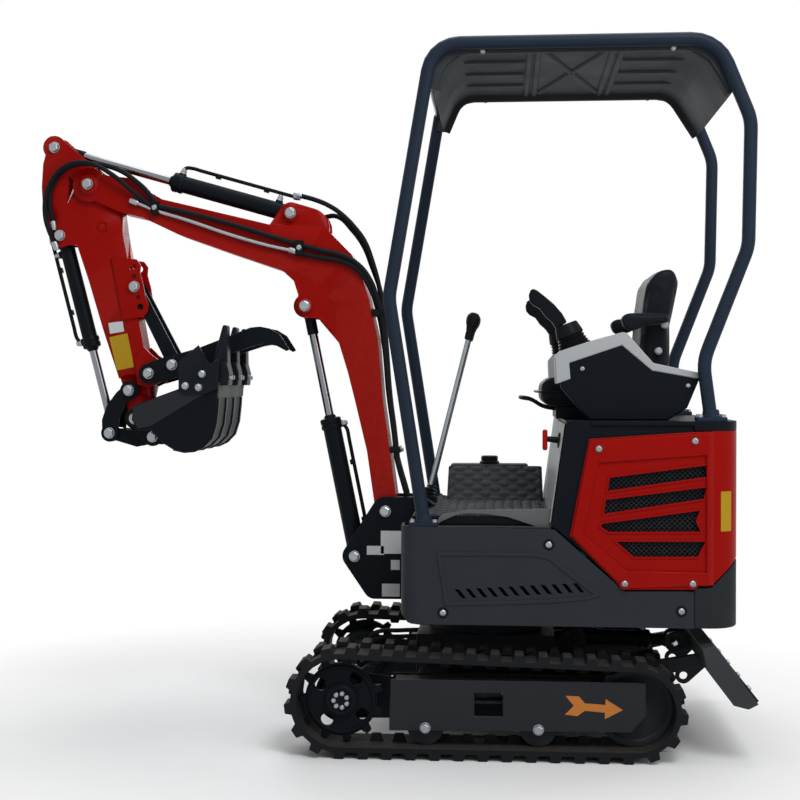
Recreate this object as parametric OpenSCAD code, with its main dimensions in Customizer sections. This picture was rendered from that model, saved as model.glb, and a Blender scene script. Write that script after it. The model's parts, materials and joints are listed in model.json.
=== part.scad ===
// Mini excavator with a canopy, a mechanical thumb and a dozer blade.
// Millimetres; +X is the way the boom points, +Y the operator's left, +Z up from the ground.

/* [Undercarriage] */
// overall length of a track over its lugs
track_length = 1246; // [1150:1:1350]
// width of one rubber track
track_width = 180; // [160:1:200]
// width over both tracks
machine_width = 930; // [900:1:960]
// thickness of the track belt
belt_t = 18; // [14:1:22]
// height of a lug above the belt
lug_h = 20; // [14:1:24]
// links, and so lugs in each row, of one track
links = 37; // [33:1:41]
// radius of the belt's inner face at the drive sprocket
sprocket_r = 136; // [128:1:142]
// radius of the belt's inner face at the idler
idler_r = 122; // [114:1:128]
// radius of a lower roller
roller_r = 58; // [50:1:60]
// width of the dozer blade
blade_width = 930; // [880:1:960]

/* [House] */
// width of the house over its side panels
house_width = 880; // [860:1:900]
// underside of the house above the ground
house_z = 415; // [412:1:430]
// height of the foot well's floor
floor_z = 722; // [700:1:740]
// height of the deck that carries the seat
deck_z = 1050; // [1030:1:1070]
// house's front ahead of the slew axis
front_x = 262; // [240:1:280]
// house's rear behind the slew axis
rear_x = 780; // [750:1:800]
// radius of the house's front corners
front_r = 60; // [40:1:60]
// radius of the house's rear corners
rear_r = 90; // [60:1:110]
// thickness of the side panels
panel_t = 10; // [6:1:12]
// height over the canopy's roof
canopy_z = 2244; // [2200:1:2280]
// outer diameter of the canopy's tubes
tube_d = 42; // [34:1:48]

/* [Boom, arm and bucket] */
// boom foot pin to arm pin
boom_length = 1503; // [1450:1:1560]
// width of the boom over its side plates
boom_w = 124; // [118:1:130]
// arm pin to bucket pin
arm_length = 814; // [780:1:850]
// width of the arm
arm_w = 90; // [84:1:94]
// width of the bucket over its side plates
bucket_w = 440; // [400:1:460]
// thickness of the bucket's sheet and side plates
bucket_t = 12; // [8:1:14]
// radius of the pins at the boom foot, arm and bucket
pin_r = 20; // [16:1:22]
// running gap between a pin and its bore, on the radius
pin_gap = 0.3; // [0.2:0.05:0.6]
// outer diameter of the boom cylinder's barrel
boom_barrel_d = 62; // [56:1:66]
// outer diameter of the arm cylinder's barrel
arm_barrel_d = 58; // [52:1:62]
// outer diameter of the bucket cylinder's barrel
bucket_barrel_d = 52; // [48:1:56]

/* [Hidden] */
$fn = 48;
half_w = machine_width / 2;
track_y = half_w - track_width / 2;
house_y = house_width / 2;
wheel_drop = belt_t + lug_h;
loop_ra = sprocket_r + belt_t;
loop_rb = idler_r + belt_t;
sprocket = [track_length / 2 - loop_ra - lug_h, sprocket_r + wheel_drop];
idler = [-track_length / 2 + loop_rb + lug_h, idler_r + wheel_drop];
lean = atan2(loop_ra - loop_rb, sprocket[0] - idler[0]);
run = norm(sprocket - idler) * cos(lean);
arc_a = loop_ra * (180 + 2 * lean) * PI / 180;
arc_b = loop_rb * (180 - 2 * lean) * PI / 180;
loop_len = arc_a + arc_b + 2 * run;
frame_in = track_y - 56;
frame_out = track_y + 64;
rail_y = house_y - 40;
console_y = house_y - 185;
seat_y = console_y - 65;
blade_arm_y = frame_in - 108;
rail_z = canopy_z - tube_d / 2;
roof_y = rail_y - tube_d / 2;
slew_x = -343.5;
boom_s = boom_length / 1503;
arm_s = arm_length / 814;
boom_foot = [336, 736];
boom_base = [440, 584];
arm_pin = boom_at(1353, 1843);
boom_eye = boom_at(610, 1427);
arm_base = boom_at(661, 1742);
arm_eye = arm_at(1480, 1975);
bucket_base = arm_at(1460, 1673);
rocker_pin = arm_at(1218, 1141);
bucket_pin = arm_at(1194, 1045);
rod_pin = bucket_at(1287, 995);
link_pin = bucket_at(1134, 983);
thumb_pin = arm_at(1144, 1199);
strut_low = arm_at(1063, 1228);
strut_high = arm_at(1200, 1496);
blade_pin = [-300, 200];
blade_base = [-300, 310];
blade_eye = [-630, 300];
tie_down = [-645, 212];
red = [0.72, 0.1, 0.06];
dark = [0.17, 0.17, 0.18];
black = [0.05, 0.05, 0.055];
grey = [0.36, 0.37, 0.38];
steel = [0.75, 0.76, 0.78];
rubber = [0.06, 0.06, 0.06];

function turn(a) = [cos(a), sin(a)];
function angle(p, q) = atan2(q[1] - p[1], q[0] - p[0]);
// the turn at corner i of a path, and how far before it a bend of radius r begins
function swing(path, i) = let (d = angle(path[i], path[i + 1]) - angle(path[i - 1], path[i]))
    d > 180 ? d - 360 : d < -180 ? d + 360 : d;
function setback(path, i, r) = r * tan(abs(swing(path, i)) / 2);
function boom_at(x, z) = boom_foot + boom_s * [x - 336, z - 736];
function arm_at(x, z) = arm_pin + arm_s * [x - 1353, z - 1843];
function bucket_at(x, z) = bucket_pin + [x - 1194, z - 1045];
// a point o outside the belt's outer face, s along the loop from under the sprocket
function on_loop(s, o) = let (u = s < 0 ? s + loop_len : s >= loop_len ? s - loop_len : s, top = turn(90 + 2 * lean))
    u < arc_a ? sprocket + (loop_ra + o) * turn(-90 + u / loop_ra * 180 / PI) :
    u < arc_a + run ? sprocket + (loop_ra + o) * top + (u - arc_a) * [-top[1], top[0]] :
    u < arc_a + run + arc_b ? idler + (loop_rb + o) * turn(90 + 2 * lean + (u - arc_a - run) / loop_rb * 180 / PI) :
    idler + [u - arc_a - run - arc_b, -loop_rb - o];

// moves a part drawn from the slew axis to the shared frame
module from_slew() translate([slew_x, 0, 0]) children();
module sided(left) { if (left) children(); else mirror([0, 1, 0]) children(); }
// a plate in the XZ plane from y0, w thick
module slab(y0, w) translate([0, y0 + w, 0]) rotate([90, 0, 0]) linear_extrude(w) children();
module pair(y0, w) { slab(y0, w) children(); slab(-y0 - w, w) children(); }
module disc(p, r) translate(p) circle(r);
// the outline around two circles
module limb(p, q, rp, rq) {
    a = angle(p, q);
    b = acos((rp - rq) / norm(q - p));
    disc(p, rp);
    disc(q, rq);
    polygon([p + rp * turn(a + b), p + rp * turn(a - b), q + rq * turn(a - b), q + rq * turn(a + b)]);
}
module cross_pin(p, r, w) translate([p[0], w / 2, p[1]]) rotate([90, 0, 0]) cylinder(r = r, h = w);
// puts +X along the line from p to q in the XZ plane
module along(p, q) translate([p[0], 0, p[1]]) rotate([0, -angle(p, q), 0]) children();
module rod_x(x0, x1, r) translate([x0, 0, 0]) rotate([0, 90, 0]) cylinder(r = r, h = x1 - x0);

module loop_inside() polygon(concat(
    [for (i = [0:14]) sprocket + sprocket_r * turn(-90 + (180 + 2 * lean) * i / 14)],
    [for (i = [0:14]) idler + idler_r * turn(90 + 2 * lean + (180 - 2 * lean) * i / 14)]));
module lug_ring(phase) difference() {
    polygon([for (i = [0:links - 1], k = [0:4]) let (pitch = loop_len / links, s = (i + phase) * pitch)
        on_loop(s + pitch * [-0.27, -0.18, 0.18, 0.27, 0.5][k], [0, lug_h, lug_h, 0, 0][k])]);
    loop_inside();
}
module belt_ring() difference() {
    polygon([for (i = [0:2 * links - 1]) on_loop((i + 0.25) * loop_len / links / 2, 0)]);
    loop_inside();
}
module track() {
    row = track_width * 0.45;
    translate([0, track_y, 0]) {
        slab(track_width / 2 - row, row) lug_ring(0);
        slab(-track_width / 2 + row, track_width - 2 * row) belt_ring();
        slab(-track_width / 2, row) lug_ring(0.5);
    }
}
module track_left() from_slew() color(rubber) track();
module track_right() from_slew() color(rubber) sided(false) track();

module frame_plate() polygon([[291, 245], [-495, 245], [-495, 142], [-450, 92], [296, 86]]);
module track_frame() {
    difference() {
        union() {
            slab(frame_out - 12, 12) frame_plate();
            slab(frame_in, 12) union() {
                frame_plate();
                disc(sprocket, 92);
                polygon([[250, 100], [250, 225], sprocket + [10, 78], sprocket + [10, -78]]);
            }
            translate([-330, frame_in + 12, 166]) cube([610, frame_out - frame_in - 24, 74]);
        }
        translate([-320, frame_in + 22, 176]) cube([590, frame_out - frame_in - 44, 54]);
        translate([-57, frame_out - 30, 134]) cube([88, 60, 74]);
    }
    for (x = [183, -167]) cross_bolt([x, wheel_drop + roller_r]);
    for (y = [frame_in + 12, frame_out - 24]) slab(y, 12) limb([-322, 194], idler, 22, 34);
}
module cross_bolt(p) translate([p[0], frame_out + 9, p[1]]) rotate([90, 0, 0]) cylinder(r = 13, h = 9, $fn = 6);
module track_frame_left() from_slew() color(dark) track_frame();
module track_frame_right() from_slew() color(dark) sided(false) track_frame();

module drive_sprocket() {
    slab(track_y + 12, 22) difference() {
        union() {
            disc(sprocket, sprocket_r - 22);
            for (i = [0:10]) polygon([for (k = [0:3]) sprocket +
                [sprocket_r - 30, sprocket_r - 1.5, sprocket_r - 1.5, sprocket_r - 30][k] *
                turn(i * 360 / 11 + [-9, -4, 4, 9][k])]);
        }
        for (i = [0:3]) disc(sprocket + 80 * turn(35 + 90 * i), 20);
    }
    slab(frame_in + 12, track_y - frame_in) disc(sprocket, 70);
    slab(track_y + 34, 16) disc(sprocket, 52);
}
module sprocket_left() from_slew() color(dark) drive_sprocket();
module sprocket_right() from_slew() color(dark) sided(false) drive_sprocket();

module idler_wheel() {
    slab(frame_in + 24, frame_out - frame_in - 48) disc(idler, 40);
    slab(track_y - 25, 50) difference() {
        disc(idler, idler_r - 1.5);
        disc(idler, idler_r - 20);
    }
    slab(track_y - 10, 20) disc(idler, idler_r - 15);
}
module idler_left() from_slew() color(dark) idler_wheel();
module idler_right() from_slew() color(dark) sided(false) idler_wheel();

module rollers() for (x = [183, -167]) {
    p = [x, wheel_drop + roller_r + 0.5];
    slab(frame_in + 12, frame_out - frame_in - 24) disc(p, 26);
    for (y = [frame_in + 22, frame_out - 54]) slab(y, 32) disc(p, roller_r);
}
module rollers_left() from_slew() color(dark) rollers();
module rollers_right() from_slew() color(dark) sided(false) rollers();

module travel_motors() from_slew() color(black) for (left = [true, false]) sided(left) {
    slab(frame_in - 16, 16) disc(sprocket, 88);
    slab(frame_in - 74, 58) disc(sprocket, 62);
}

module centre_frame() from_slew() color(dark) {
    translate([-225, 119 - frame_in, 190]) cube([450, 2 * frame_in - 238, 155]);
    for (x = [-215, 120]) translate([x, -frame_in, 168]) cube([95, 2 * frame_in, 70]);
    pair(blade_arm_y - 15, 12) limb([-215, 215], blade_pin, 45, 36);
    pair(blade_arm_y + 27, 12) limb([-200, 205], blade_pin, 34, 36);
    pair(29, 14) limb([-215, 290], blade_base, 40, 34);
    for (s = [-1, 1]) translate([0, s * (blade_arm_y + 12), 0]) cross_pin(blade_pin, 16, 56);
    cross_pin(blade_base, 14, 92);
}
module slew_ring() from_slew() color(black) translate([0, 0, 345]) {
    cylinder(r = 190, h = 30);
    translate([0, 0, 30]) cylinder(r = 215, h = house_z - 375.3);
}

module blade() from_slew() color(dark) difference() {
    union() {
        slab(-blade_width / 2, blade_width) polygon([[-662, 357], [-703, 367], [-733, 328], [-772, 268],
            [-832, 191], [-802, 175], [-757, 186], [-677, 291]]);
        pair(blade_arm_y, 24) limb(blade_pin, [-722, 285], 32, 20);
        pair(29, 14) limb(blade_eye, [-716, 310], 34, 22);
        pair(blade_arm_y - 69, 16) limb(tie_down, [-720, 270], 26, 18);
    }
    cross_pin(blade_pin, 16 + pin_gap, 2 * frame_in);
    cross_pin(blade_eye, 15, 200);
    cross_pin(tie_down, 13, 2 * frame_in);
}

// a barrel with its base eye at p, pointing at q
module barrel(p, q, d, len, rod_r, eye_r, eye_w, bore_r) along(p, q) difference() {
    union() {
        rotate([90, 0, 0]) translate([0, 0, -eye_w / 2]) cylinder(r = eye_r, h = eye_w);
        rod_x(eye_r * 0.5, len, d / 2);
        rod_x(len - 34, len, d / 2 + 3);
    }
    rotate([90, 0, 0]) translate([0, 0, -eye_w]) cylinder(r = bore_r, h = 2 * eye_w);
    rod_x(eye_r + 12, len + 1, rod_r + 0.6);
}
// a rod with its eye at q, reaching back len towards p
module piston_rod(p, q, len, rod_r, eye_r, eye_w, bore_r) along(p, q) difference() {
    union() {
        rod_x(norm(q - p) - len, norm(q - p) - eye_r * 0.5, rod_r);
        translate([norm(q - p), 0, 0]) rotate([90, 0, 0]) translate([0, 0, -eye_w / 2]) cylinder(r = eye_r, h = eye_w);
    }
    translate([norm(q - p), 0, 0]) rotate([90, 0, 0]) translate([0, 0, -eye_w]) cylinder(r = bore_r, h = 2 * eye_w);
}
module blade_barrel() from_slew() color(black)
    barrel(blade_base, blade_eye, 54, 250, 15, 30, 54, 14 + pin_gap);
module blade_rod() from_slew() color(steel) piston_rod(blade_base, blade_eye, 255, 15, 28, 54, 15);

module house_frame() from_slew() color(dark) {
    difference() {
        translate([0, 0, house_z]) linear_extrude(25) floor_plan(-640);
        translate([-20, -190, house_z + 12]) cube([180, 150, 20]);
    }
    pair(64, 16) polygon([[-280, house_z + 25], [225, house_z + 25], [225, floor_z - 12], [120, floor_z - 12], [-280, house_z + 180]]);
    translate([0, 0, floor_z - 12]) linear_extrude(12) floor_plan(-200);
}
// the house's floor in plan from x, its front corners cut to clear the panels
module floor_plan(x) polygon([[x, panel_t - house_y], [front_x - front_r, panel_t - house_y],
    [front_x - 32, 28 - house_y], [front_x - 32, house_y - 28], [front_x - front_r, house_y - panel_t], [x, house_y - panel_t]]);
module boom_bracket() from_slew() color(black) {
    pair(boom_w / 2 + 5, 18) union() {
        limb(boom_foot, boom_base, 48, 42);
        limb(boom_base, [372, 480], 42, 40);
        polygon([[230, 440], [372, 440], [410, 500], [boom_foot[0] + 20, 700], boom_foot + [0, 48], [230, 784]]);
    }
    translate([230, -boom_w / 2 - 5, 440]) cube([14, boom_w + 10, 250]);
    cross_pin(boom_foot, pin_r, boom_w + 56);
    cross_pin(boom_base, pin_r - 2, boom_w + 56);
}

module lower_panel() difference() {
    polygon([[front_x - front_r, house_z + 3], [front_x - front_r, floor_z], [-216, floor_z - 7], [-429, 527],
        [-640, 529], [-640, house_z]]);
    for (i = [0:11]) translate([92 - 33 * i, 528 + 2 * i]) polygon([[0, 0], [-13, 0], [-36, -28], [-23, -28]]);
}
module side_panel() difference() {
    panel_sheet();
    slab(house_y - 140, 150) polygon([[front_x + 1, 447], [front_x - 24, 421], [front_x - 60, house_z + 2],
        [front_x + 1, house_z + 2]]);
}
module panel_sheet() {
    slab(house_y - panel_t, panel_t) lower_panel();
    translate([0, 0, house_z + 3]) linear_extrude(floor_z - house_z - 3) {
        difference() {
            translate([front_x - front_r, house_y - front_r]) circle(front_r);
            translate([front_x - front_r, house_y - front_r]) circle(front_r - panel_t);
            translate([front_x - 3 * front_r, house_y - 2 * front_r]) square([2 * front_r, 3 * front_r]);
            translate([front_x - 2 * front_r, house_y - 3 * front_r]) square([3 * front_r, 2 * front_r]);
        }
        translate([front_x - panel_t, house_y - front_r - 70]) square([panel_t, 70]);
    }
}
module side_panel_left() from_slew() color(dark) side_panel();
module side_panel_right() from_slew() color(dark) sided(false) side_panel();

module hood_outline() polygon([[-320, 995], [-640, 1017], [2 + rear_r - rear_x, 1019], [2 + rear_r - rear_x, 546],
    [-640, 546], [-640, 534], [-426, 532], [-262, 697]]);
module hood_louvres() {
    polygon([[-384, 876], [-676, 915], [-676, 880], [-378, 836]]);
    polygon([[-372, 808], [-676, 848], [-668, 813], [-366, 765]]);
    polygon([[-363, 735], [-656, 777], [-644, 743], [-659, 713], [-381, 710], [-356, 726]]);
    polygon([[-405, 680], [-674, 682], [-650, 636], [-457, 634]]);
}
module hood_side() slab(house_y - panel_t, panel_t) difference() {
    hood_outline();
    hood_louvres();
}
module hood_left() from_slew() color(red) hood_side();
module hood_right() from_slew() color(red) sided(false) hood_side();
module grille() slab(house_y - panel_t - 5, 5) polygon([[-340, 940], [-684, 986], [-684, 600], [-440, 600], [-330, 710]]);
module grille_left() from_slew() color(black) grille();
module grille_right() from_slew() color(black) sided(false) grille();
// the rear of the house in plan, with rounded corners
module rear_plan(in) difference() {
    union() {
        translate([rear_r - rear_x, in - house_y]) square([rear_x - rear_r - 570, house_width - 2 * in]);
        translate([in - rear_x, rear_r - house_y]) square([120, house_width - 2 * rear_r]);
        for (s = [-1, 1]) translate([rear_r - rear_x, s * (house_y - rear_r)]) circle(rear_r - in);
    }
    translate([-640, -house_y]) square([200, house_width]);
}
// the joint between the rear hood and the counterweight, from the side
module rear_joint(gap) polygon([[-600, 540 + gap], [-690, 540 + gap], [-rear_x - 10, 634 + gap], [-rear_x - 10, 200], [-600, 200]]);
module hood_rear() from_slew() color(red) difference() {
    translate([0, 0, 535]) linear_extrude(deck_z - 565) difference() {
        rear_plan(0);
        rear_plan(panel_t);
        translate([rear_r - rear_x - 2, -house_y - 1]) square([100, house_width + 2]);
    }
    slab(-house_y - 1, house_width + 2) rear_joint(5);
}
module counterweight() from_slew() color(dark) intersection() {
    translate([0, 0, house_z]) linear_extrude(240) rear_plan(0);
    slab(-house_y - 1, house_width + 2) rear_joint(0);
}
module engine_block() from_slew() color(grey) translate([-600, -180, house_z + 25]) cube([270, 360, 420]);

module deck() from_slew() color(black) {
    slab(-house_y + panel_t, house_width - 2 * panel_t) polygon([[-206, floor_z], [-252, deck_z],
        [-330, deck_z], [-330, deck_z - 14], [-264, deck_z - 14], [-222, floor_z]]);
    translate([0, 0, deck_z - 30]) linear_extrude(30) rear_plan(0);
    pair(house_y - panel_t - 6, 6) difference() {
        polygon([[-206, floor_z], [-252, deck_z - 7], [-640, deck_z - 7], [-640, 545], [-426, 536], [-222, floor_z - 7]]);
        polygon([[-337, 943], [-650, 986], [-650, 597], [-439, 597], [-327, 709]]);
    }
    translate([-640, -house_y, deck_z - 14]) cube([310, house_width, 14]);
}
module floor_mat() from_slew() color(grey) translate([-196, -house_y + 85, floor_z]) cube([420, house_width - 170, 8]);
module right_tank() from_slew() color(black) translate([-150, -house_y, floor_z]) cube([285, 84, 148]);

module seat_base() from_slew() color(black) translate([-560, 40 - seat_y, deck_z]) cube([330, 2 * seat_y - 80, 40]);
module seat_cushion() from_slew() color(black) translate([-580, -seat_y, deck_z + 40]) cube([400, 2 * seat_y, 95]);
module seat_back() from_slew() color(black) translate([0, 0, deck_z]) slab(-seat_y, 2 * seat_y) polygon([[-498, 135],
    [-509, 339], [-527, 466], [-567, 498], [-601, 500], [-626, 492], [-626, 448], [-600, 304], [-595, 135]]);
module armrest() translate([0, 0, deck_z]) slab(seat_y, 60) polygon([[-430, 321], [-436, 336], [-455, 344], [-586, 340],
    [-592, 309], [-512, 297], [-478, 283], [-455, 283], [-438, 295]]);
module armrest_left() from_slew() color(black) armrest();
module armrest_right() from_slew() color(black) sided(false) armrest();
module console() translate([0, 0, deck_z]) slab(console_y, 110) polygon([[-327, 0], [-239, 101], [-223, 199],
    [-236, 240], [-250, 247], [-344, 247], [-438, 275], [-527, 175], [-673, 147], [-628, 39], [-569, 0]]);
module console_left() from_slew() color(black) console();
module console_right() from_slew() color(black) sided(false) console();
module joystick() translate([0, console_y + 55, deck_z]) {
    translate([-296, 0, 247]) cylinder(r1 = 38, r2 = 16, h = 60);
    along([-296, 295], [-152, 420]) rod_x(0, 185, 17);
}
module joystick_left() from_slew() color(black) joystick();
module joystick_right() from_slew() color(black) sided(false) joystick();
module travel_levers() from_slew() color(grey) for (y = [-55, 55]) translate([0, y, 0]) {
    translate([170, -25, floor_z + 8]) cube([60, 50, 60]);
    along([195, floor_z + 60], [52, 1343]) {
        rod_x(0, 560, 7);
        rod_x(548, 632, 16);
    }
}

// the middle line of a tube bent in the XZ plane, with radius bend[i] at corner i of its path
function bent(path, bend, n) = concat([path[0]], [for (i = [1:len(path) - 2], k = [0:n]) let (
    a = angle(path[i - 1], path[i]), d = swing(path, i), way = d > 0 ? 90 : -90)
    path[i] - setback(path, i, bend[i]) * turn(a) + bend[i] * (turn(a + way) + turn(a - way + d * k / n))],
    [path[len(path) - 1]]);
module bent_tube(line, r, sides) {
    n = len(line);
    rings = [for (i = [0:n - 1], k = [0:sides - 1]) let (a = angle(line[max(i - 1, 0)], line[min(i + 1, n - 1)]),
        out = r * cos(k * 360 / sides)) [line[i][0] - out * sin(a), r * sin(k * 360 / sides), line[i][1] + out * cos(a)]];
    polyhedron(rings, concat([[for (k = [sides - 1:-1:0]) k]],
        [for (i = [0:n - 2], k = [0:sides - 1]) let (b = i * sides, e = (k + 1) % sides)
            [b + k, b + e, b + e + sides, b + k + sides]],
        [[for (k = [0:sides - 1]) (n - 1) * sides + k]]));
}
module canopy_side() translate([0, rail_y, 0]) {
    bent_tube(bent([[189, floor_z + 6], [299, 1433], [164, rail_z], [-712, rail_z], [-814, 1974], [-807, 1585],
        [-671, 1232], [-695, deck_z + 6]], [0, 160, 100, 120, 150, 160, 160, 0], 5), tube_d / 2, 20);
    for (p = [[189, floor_z], [-695, deck_z]]) translate([p[0] - 45, -36, p[1]]) cube([90, 72, 12]);
}
module canopy_left() from_slew() color(black) canopy_side();
module canopy_right() from_slew() color(black) sided(false) canopy_side();
module canopy_bars() from_slew() color(black) for (p = [[164 + (rail_z - 2150) * 0.175, 2150], [-754, 2120]])
    cross_pin(p, 14, 2 * rail_y - tube_d);
// a sheet's outline that reaches up above its middle line and down below it
function band(line, up, down) = let (n = len(line), out = [for (i = [0:n - 1])
    turn(angle(line[max(i - 1, 0)], line[min(i + 1, n - 1)]) - 90)])
    concat([for (i = [0:n - 1]) line[i] + up * out[i]], [for (i = [n - 1:-1:0]) line[i] - down * out[i]]);
roof_line = bent([[160, 2088], [105, canopy_z - 26], [-660, canopy_z - 26], [-760, 2062]], [0, 90, 100, 0], 5);
module canopy_roof() from_slew() color(black) {
    slab(-roof_y, 2 * roof_y) polygon(band(roof_line, 3, 3));
    pair(roof_y - 10, 10) polygon(band(roof_line, 2, 24));
}

module boom_outline() polygon([for (p = [[1376, 1895], [1352, 1900], [1299, 1875], [1202, 1864], [1153, 1823],
    [1101, 1792], [732, 1703], [547, 1695], [452, 1599], [422, 1538], [394, 1450], [364, 1315], [347, 1109],
    [323, 937], [300, 765], [305, 736], [372, 736], [380, 790], [401, 937], [442, 1109], [466, 1204], [496, 1302],
    [560, 1377], [572, 1440], [600, 1470], [653, 1515], [688, 1547], [870, 1609], [1046, 1672], [1170, 1731],
    [1243, 1748], [1340, 1790]]) boom_at(p[0], p[1])]);
module boom_box() difference() {
    union() {
        slab(-boom_w / 2, boom_w) union() {
            boom_outline();
            disc(boom_foot, 44);
            disc(arm_pin, 58);
            disc(boom_eye, 40);
        }
        pair(30, 16) union() {
            limb(arm_base, boom_at(600, 1690), 38, 70);
            limb(arm_base, boom_at(720, 1690), 38, 20);
        }
        cross_pin(arm_base, 26, 116);
        cross_pin(boom_eye, 28, boom_w + 20);
        cross_pin(arm_pin, 34, boom_w + 24);
    }
    cross_pin(boom_foot, pin_r + pin_gap, 400);
    cross_pin(arm_pin, pin_r + pin_gap, 400);
    slab(-arm_w / 2 - 5, arm_w + 10) disc(arm_pin, 150);
    slab(-30, 60) limb(boom_eye, boom_eye + 300 * turn(angle(boom_eye, boom_base)), 85, 62);
    slab(-30, 60) limb(arm_base, arm_base + 300 * turn(angle(arm_base, arm_eye)), 46, 40);
    cross_pin(boom_eye, 18, 400);
}
module boom() from_slew() color(red) {
    boom_box();
    cross_pin(arm_base, 17, 110);
}
module boom_barrel() from_slew() color(black)
    barrel(boom_base, boom_eye, boom_barrel_d, 470, 15, 38, 54, pin_r - 2 + pin_gap);
module boom_rod() from_slew() color(steel) piston_rod(boom_base, boom_eye, 500, 15, 36, 54, 18);
module arm_barrel() from_slew() color(black) barrel(arm_base, arm_eye, arm_barrel_d, 430, 15, 36, 54, 17 + pin_gap);
module arm_rod() from_slew() color(steel) piston_rod(arm_base, arm_eye, 495, 15, 34, 54, 18);

module arm_outline() polygon([for (p = [[1455, 2005], [1495, 2014], [1520, 1918], [1525, 1840], [1522, 1785],
    [1508, 1719], [1490, 1640], [1402, 1640], [1361, 1516], [1312, 1351], [1249, 1160], [1225, 1050],
    [1165, 1050], [1138, 1167], [1169, 1279], [1225, 1587], [1242, 1673], [1253, 1751], [1300, 1870]])
    arm_at(p[0], p[1])]);
module arm_box() difference() {
    union() {
        slab(-arm_w / 2, arm_w) union() {
            arm_outline();
            disc(arm_eye, 40);
            disc(bucket_base, 40);
        }
        slab(-27, 54) disc(bucket_pin, 36);
        cross_pin(thumb_pin, 28, 140);
    }
    pair(27, 30) limb(bucket_pin, rocker_pin, 60, 56);
    slab(-30, 60) limb(arm_eye, arm_eye + 300 * turn(angle(arm_eye, arm_base)), 85, 50);
    slab(-30, 60) limb(bucket_base, bucket_base + 260 * turn(angle(bucket_base, rod_pin)), 50, 45);
    slab(-arm_w, 2 * arm_w) polygon([arm_at(1430, 1879), arm_at(1408, 1852), arm_at(1408, 1834), arm_at(1440, 1772)]);
    cross_pin(arm_eye, 18, 400);
    pair(arm_w / 2 - 18, 14) limb(strut_low, strut_high, 27, 23);
    cross_pin(strut_high, 13, arm_w + 2);
}
module arm() from_slew() color(red) {
    arm_box();
    cross_pin(arm_pin, pin_r, boom_w + 44);
    cross_pin(bucket_pin, pin_r, 160);
    cross_pin(rocker_pin, 30, arm_w + 1);
    cross_pin(rocker_pin, pin_r - 3, 126);
    cross_pin(bucket_base, 16, arm_w + 12);
}
module thumb_bracket() from_slew() color(red) difference() {
    pair(arm_w / 2, 10) polygon([for (p = [[1280, 1594], [1261, 1597], [1192, 1589], [1178, 1570],
        [1180, 1541], [1168, 1498], [1163, 1464], [1151, 1435], [1153, 1411], [1168, 1392], [1240, 1382]])
        arm_at(p[0], p[1])]);
    cross_pin(arm_at(1207, 1563), 11, 400);
    cross_pin(arm_at(1180, 1426), 11, 400);
}
module thumb() from_slew() color(black) {
    pair(70, 14) union() {
        limb(thumb_pin, strut_low, 34, 34);
        polygon([for (p = [[1150, 1170], [1122, 1164], [1040, 1188], [943, 1228], [847, 1271], [775, 1294],
            [746, 1299], [703, 1291], [672, 1274], [662, 1280], [694, 1330], [727, 1350], [761, 1357],
            [794, 1354], [847, 1333], [972, 1285], [1040, 1266], [1137, 1233]]) arm_at(p[0], p[1])]);
    }
    pair(arm_w / 2 - 17, 12) limb(strut_low, strut_high, 24, 20);
    cross_pin(strut_low, 14, 140);
    cross_pin(strut_high, 12, arm_w);
}
module bucket_barrel() from_slew() color(black) barrel(bucket_base, rod_pin, bucket_barrel_d, 395, 14, 34, 54, 16 + pin_gap);
module bucket_rod() from_slew() color(steel) piston_rod(bucket_base, rod_pin, 385, 14, 30, 52, 16);
module rocker() from_slew() color(black) difference() {
    pair(arm_w / 2 + 1, 11) union() {
        disc(rocker_pin, 32);
        disc(rod_pin, 30);
        polygon([rocker_pin + [-15, -19], rocker_pin + [18, -49], rod_pin + [-35, 56], rod_pin + [-26, 3],
            rod_pin + [26, 1], rod_pin + [27, 45], rod_pin + [10, 94], rocker_pin + [46, -8], rocker_pin + [15, 20]]);
    }
    cross_pin(rocker_pin, pin_r - 3 + pin_gap, 400);
    cross_pin(rod_pin, 16, 400);
}
module bucket_link() from_slew() color(black) difference() {
    pair(30, 10) union() {
        disc(rod_pin, 27);
        disc(link_pin, 26);
        polygon([rod_pin + [-7, 20], (rod_pin + link_pin) / 2 + [-5, 14], link_pin + [7, 20], link_pin + [-6, -21],
            (rod_pin + link_pin) / 2 + [-14, -42], rod_pin + [2, -21]]);
    }
    cross_pin(rod_pin, 16, 400);
    cross_pin(link_pin, 16 + pin_gap, 400);
}

function bucket_pts() = [for (p = [[1140, 1052], [1128, 1032], [1099, 1008], [1062, 968], [1030, 948], [992, 940],
    [960, 943], [930, 957], [903, 985], [889, 1030], [882, 1090], [878, 1167]]) bucket_at(p[0], p[1])];
module bucket() from_slew() color(black) difference() {
    union() {
        slab(-bucket_w / 2, bucket_w) difference() {
            polygon(concat(bucket_pts(), [bucket_at(894, 1167)]));
            polygon(concat([for (p = bucket_pts()) p + bucket_t * turn(angle(p, bucket_at(1005, 1080)))],
                [bucket_at(905, 1190), bucket_at(1120, 1110)]));
        }
        pair(bucket_w / 2 - bucket_t, bucket_t) polygon(concat([bucket_at(1166, 1046), bucket_at(1147, 1009)],
            [for (i = [2:11]) bucket_pts()[i]], [bucket_at(900, 1172), bucket_at(1006, 1148), bucket_at(1161, 1092)]));
        pair(58.5, 12) union() {
            limb(bucket_pin, link_pin, 36, 32);
            polygon([bucket_pin + [10, 30], link_pin + [0, -30], bucket_at(1062, 968), bucket_at(1099, 1008), bucket_at(1139, 1050)]);
        }
        pair(bucket_w / 2 - 1, 1) disc(bucket_at(992, 1000), 20);
        cross_pin(link_pin, 16, 130);
    }
    cross_pin(bucket_pin, pin_r + pin_gap, 400);
}
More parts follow.
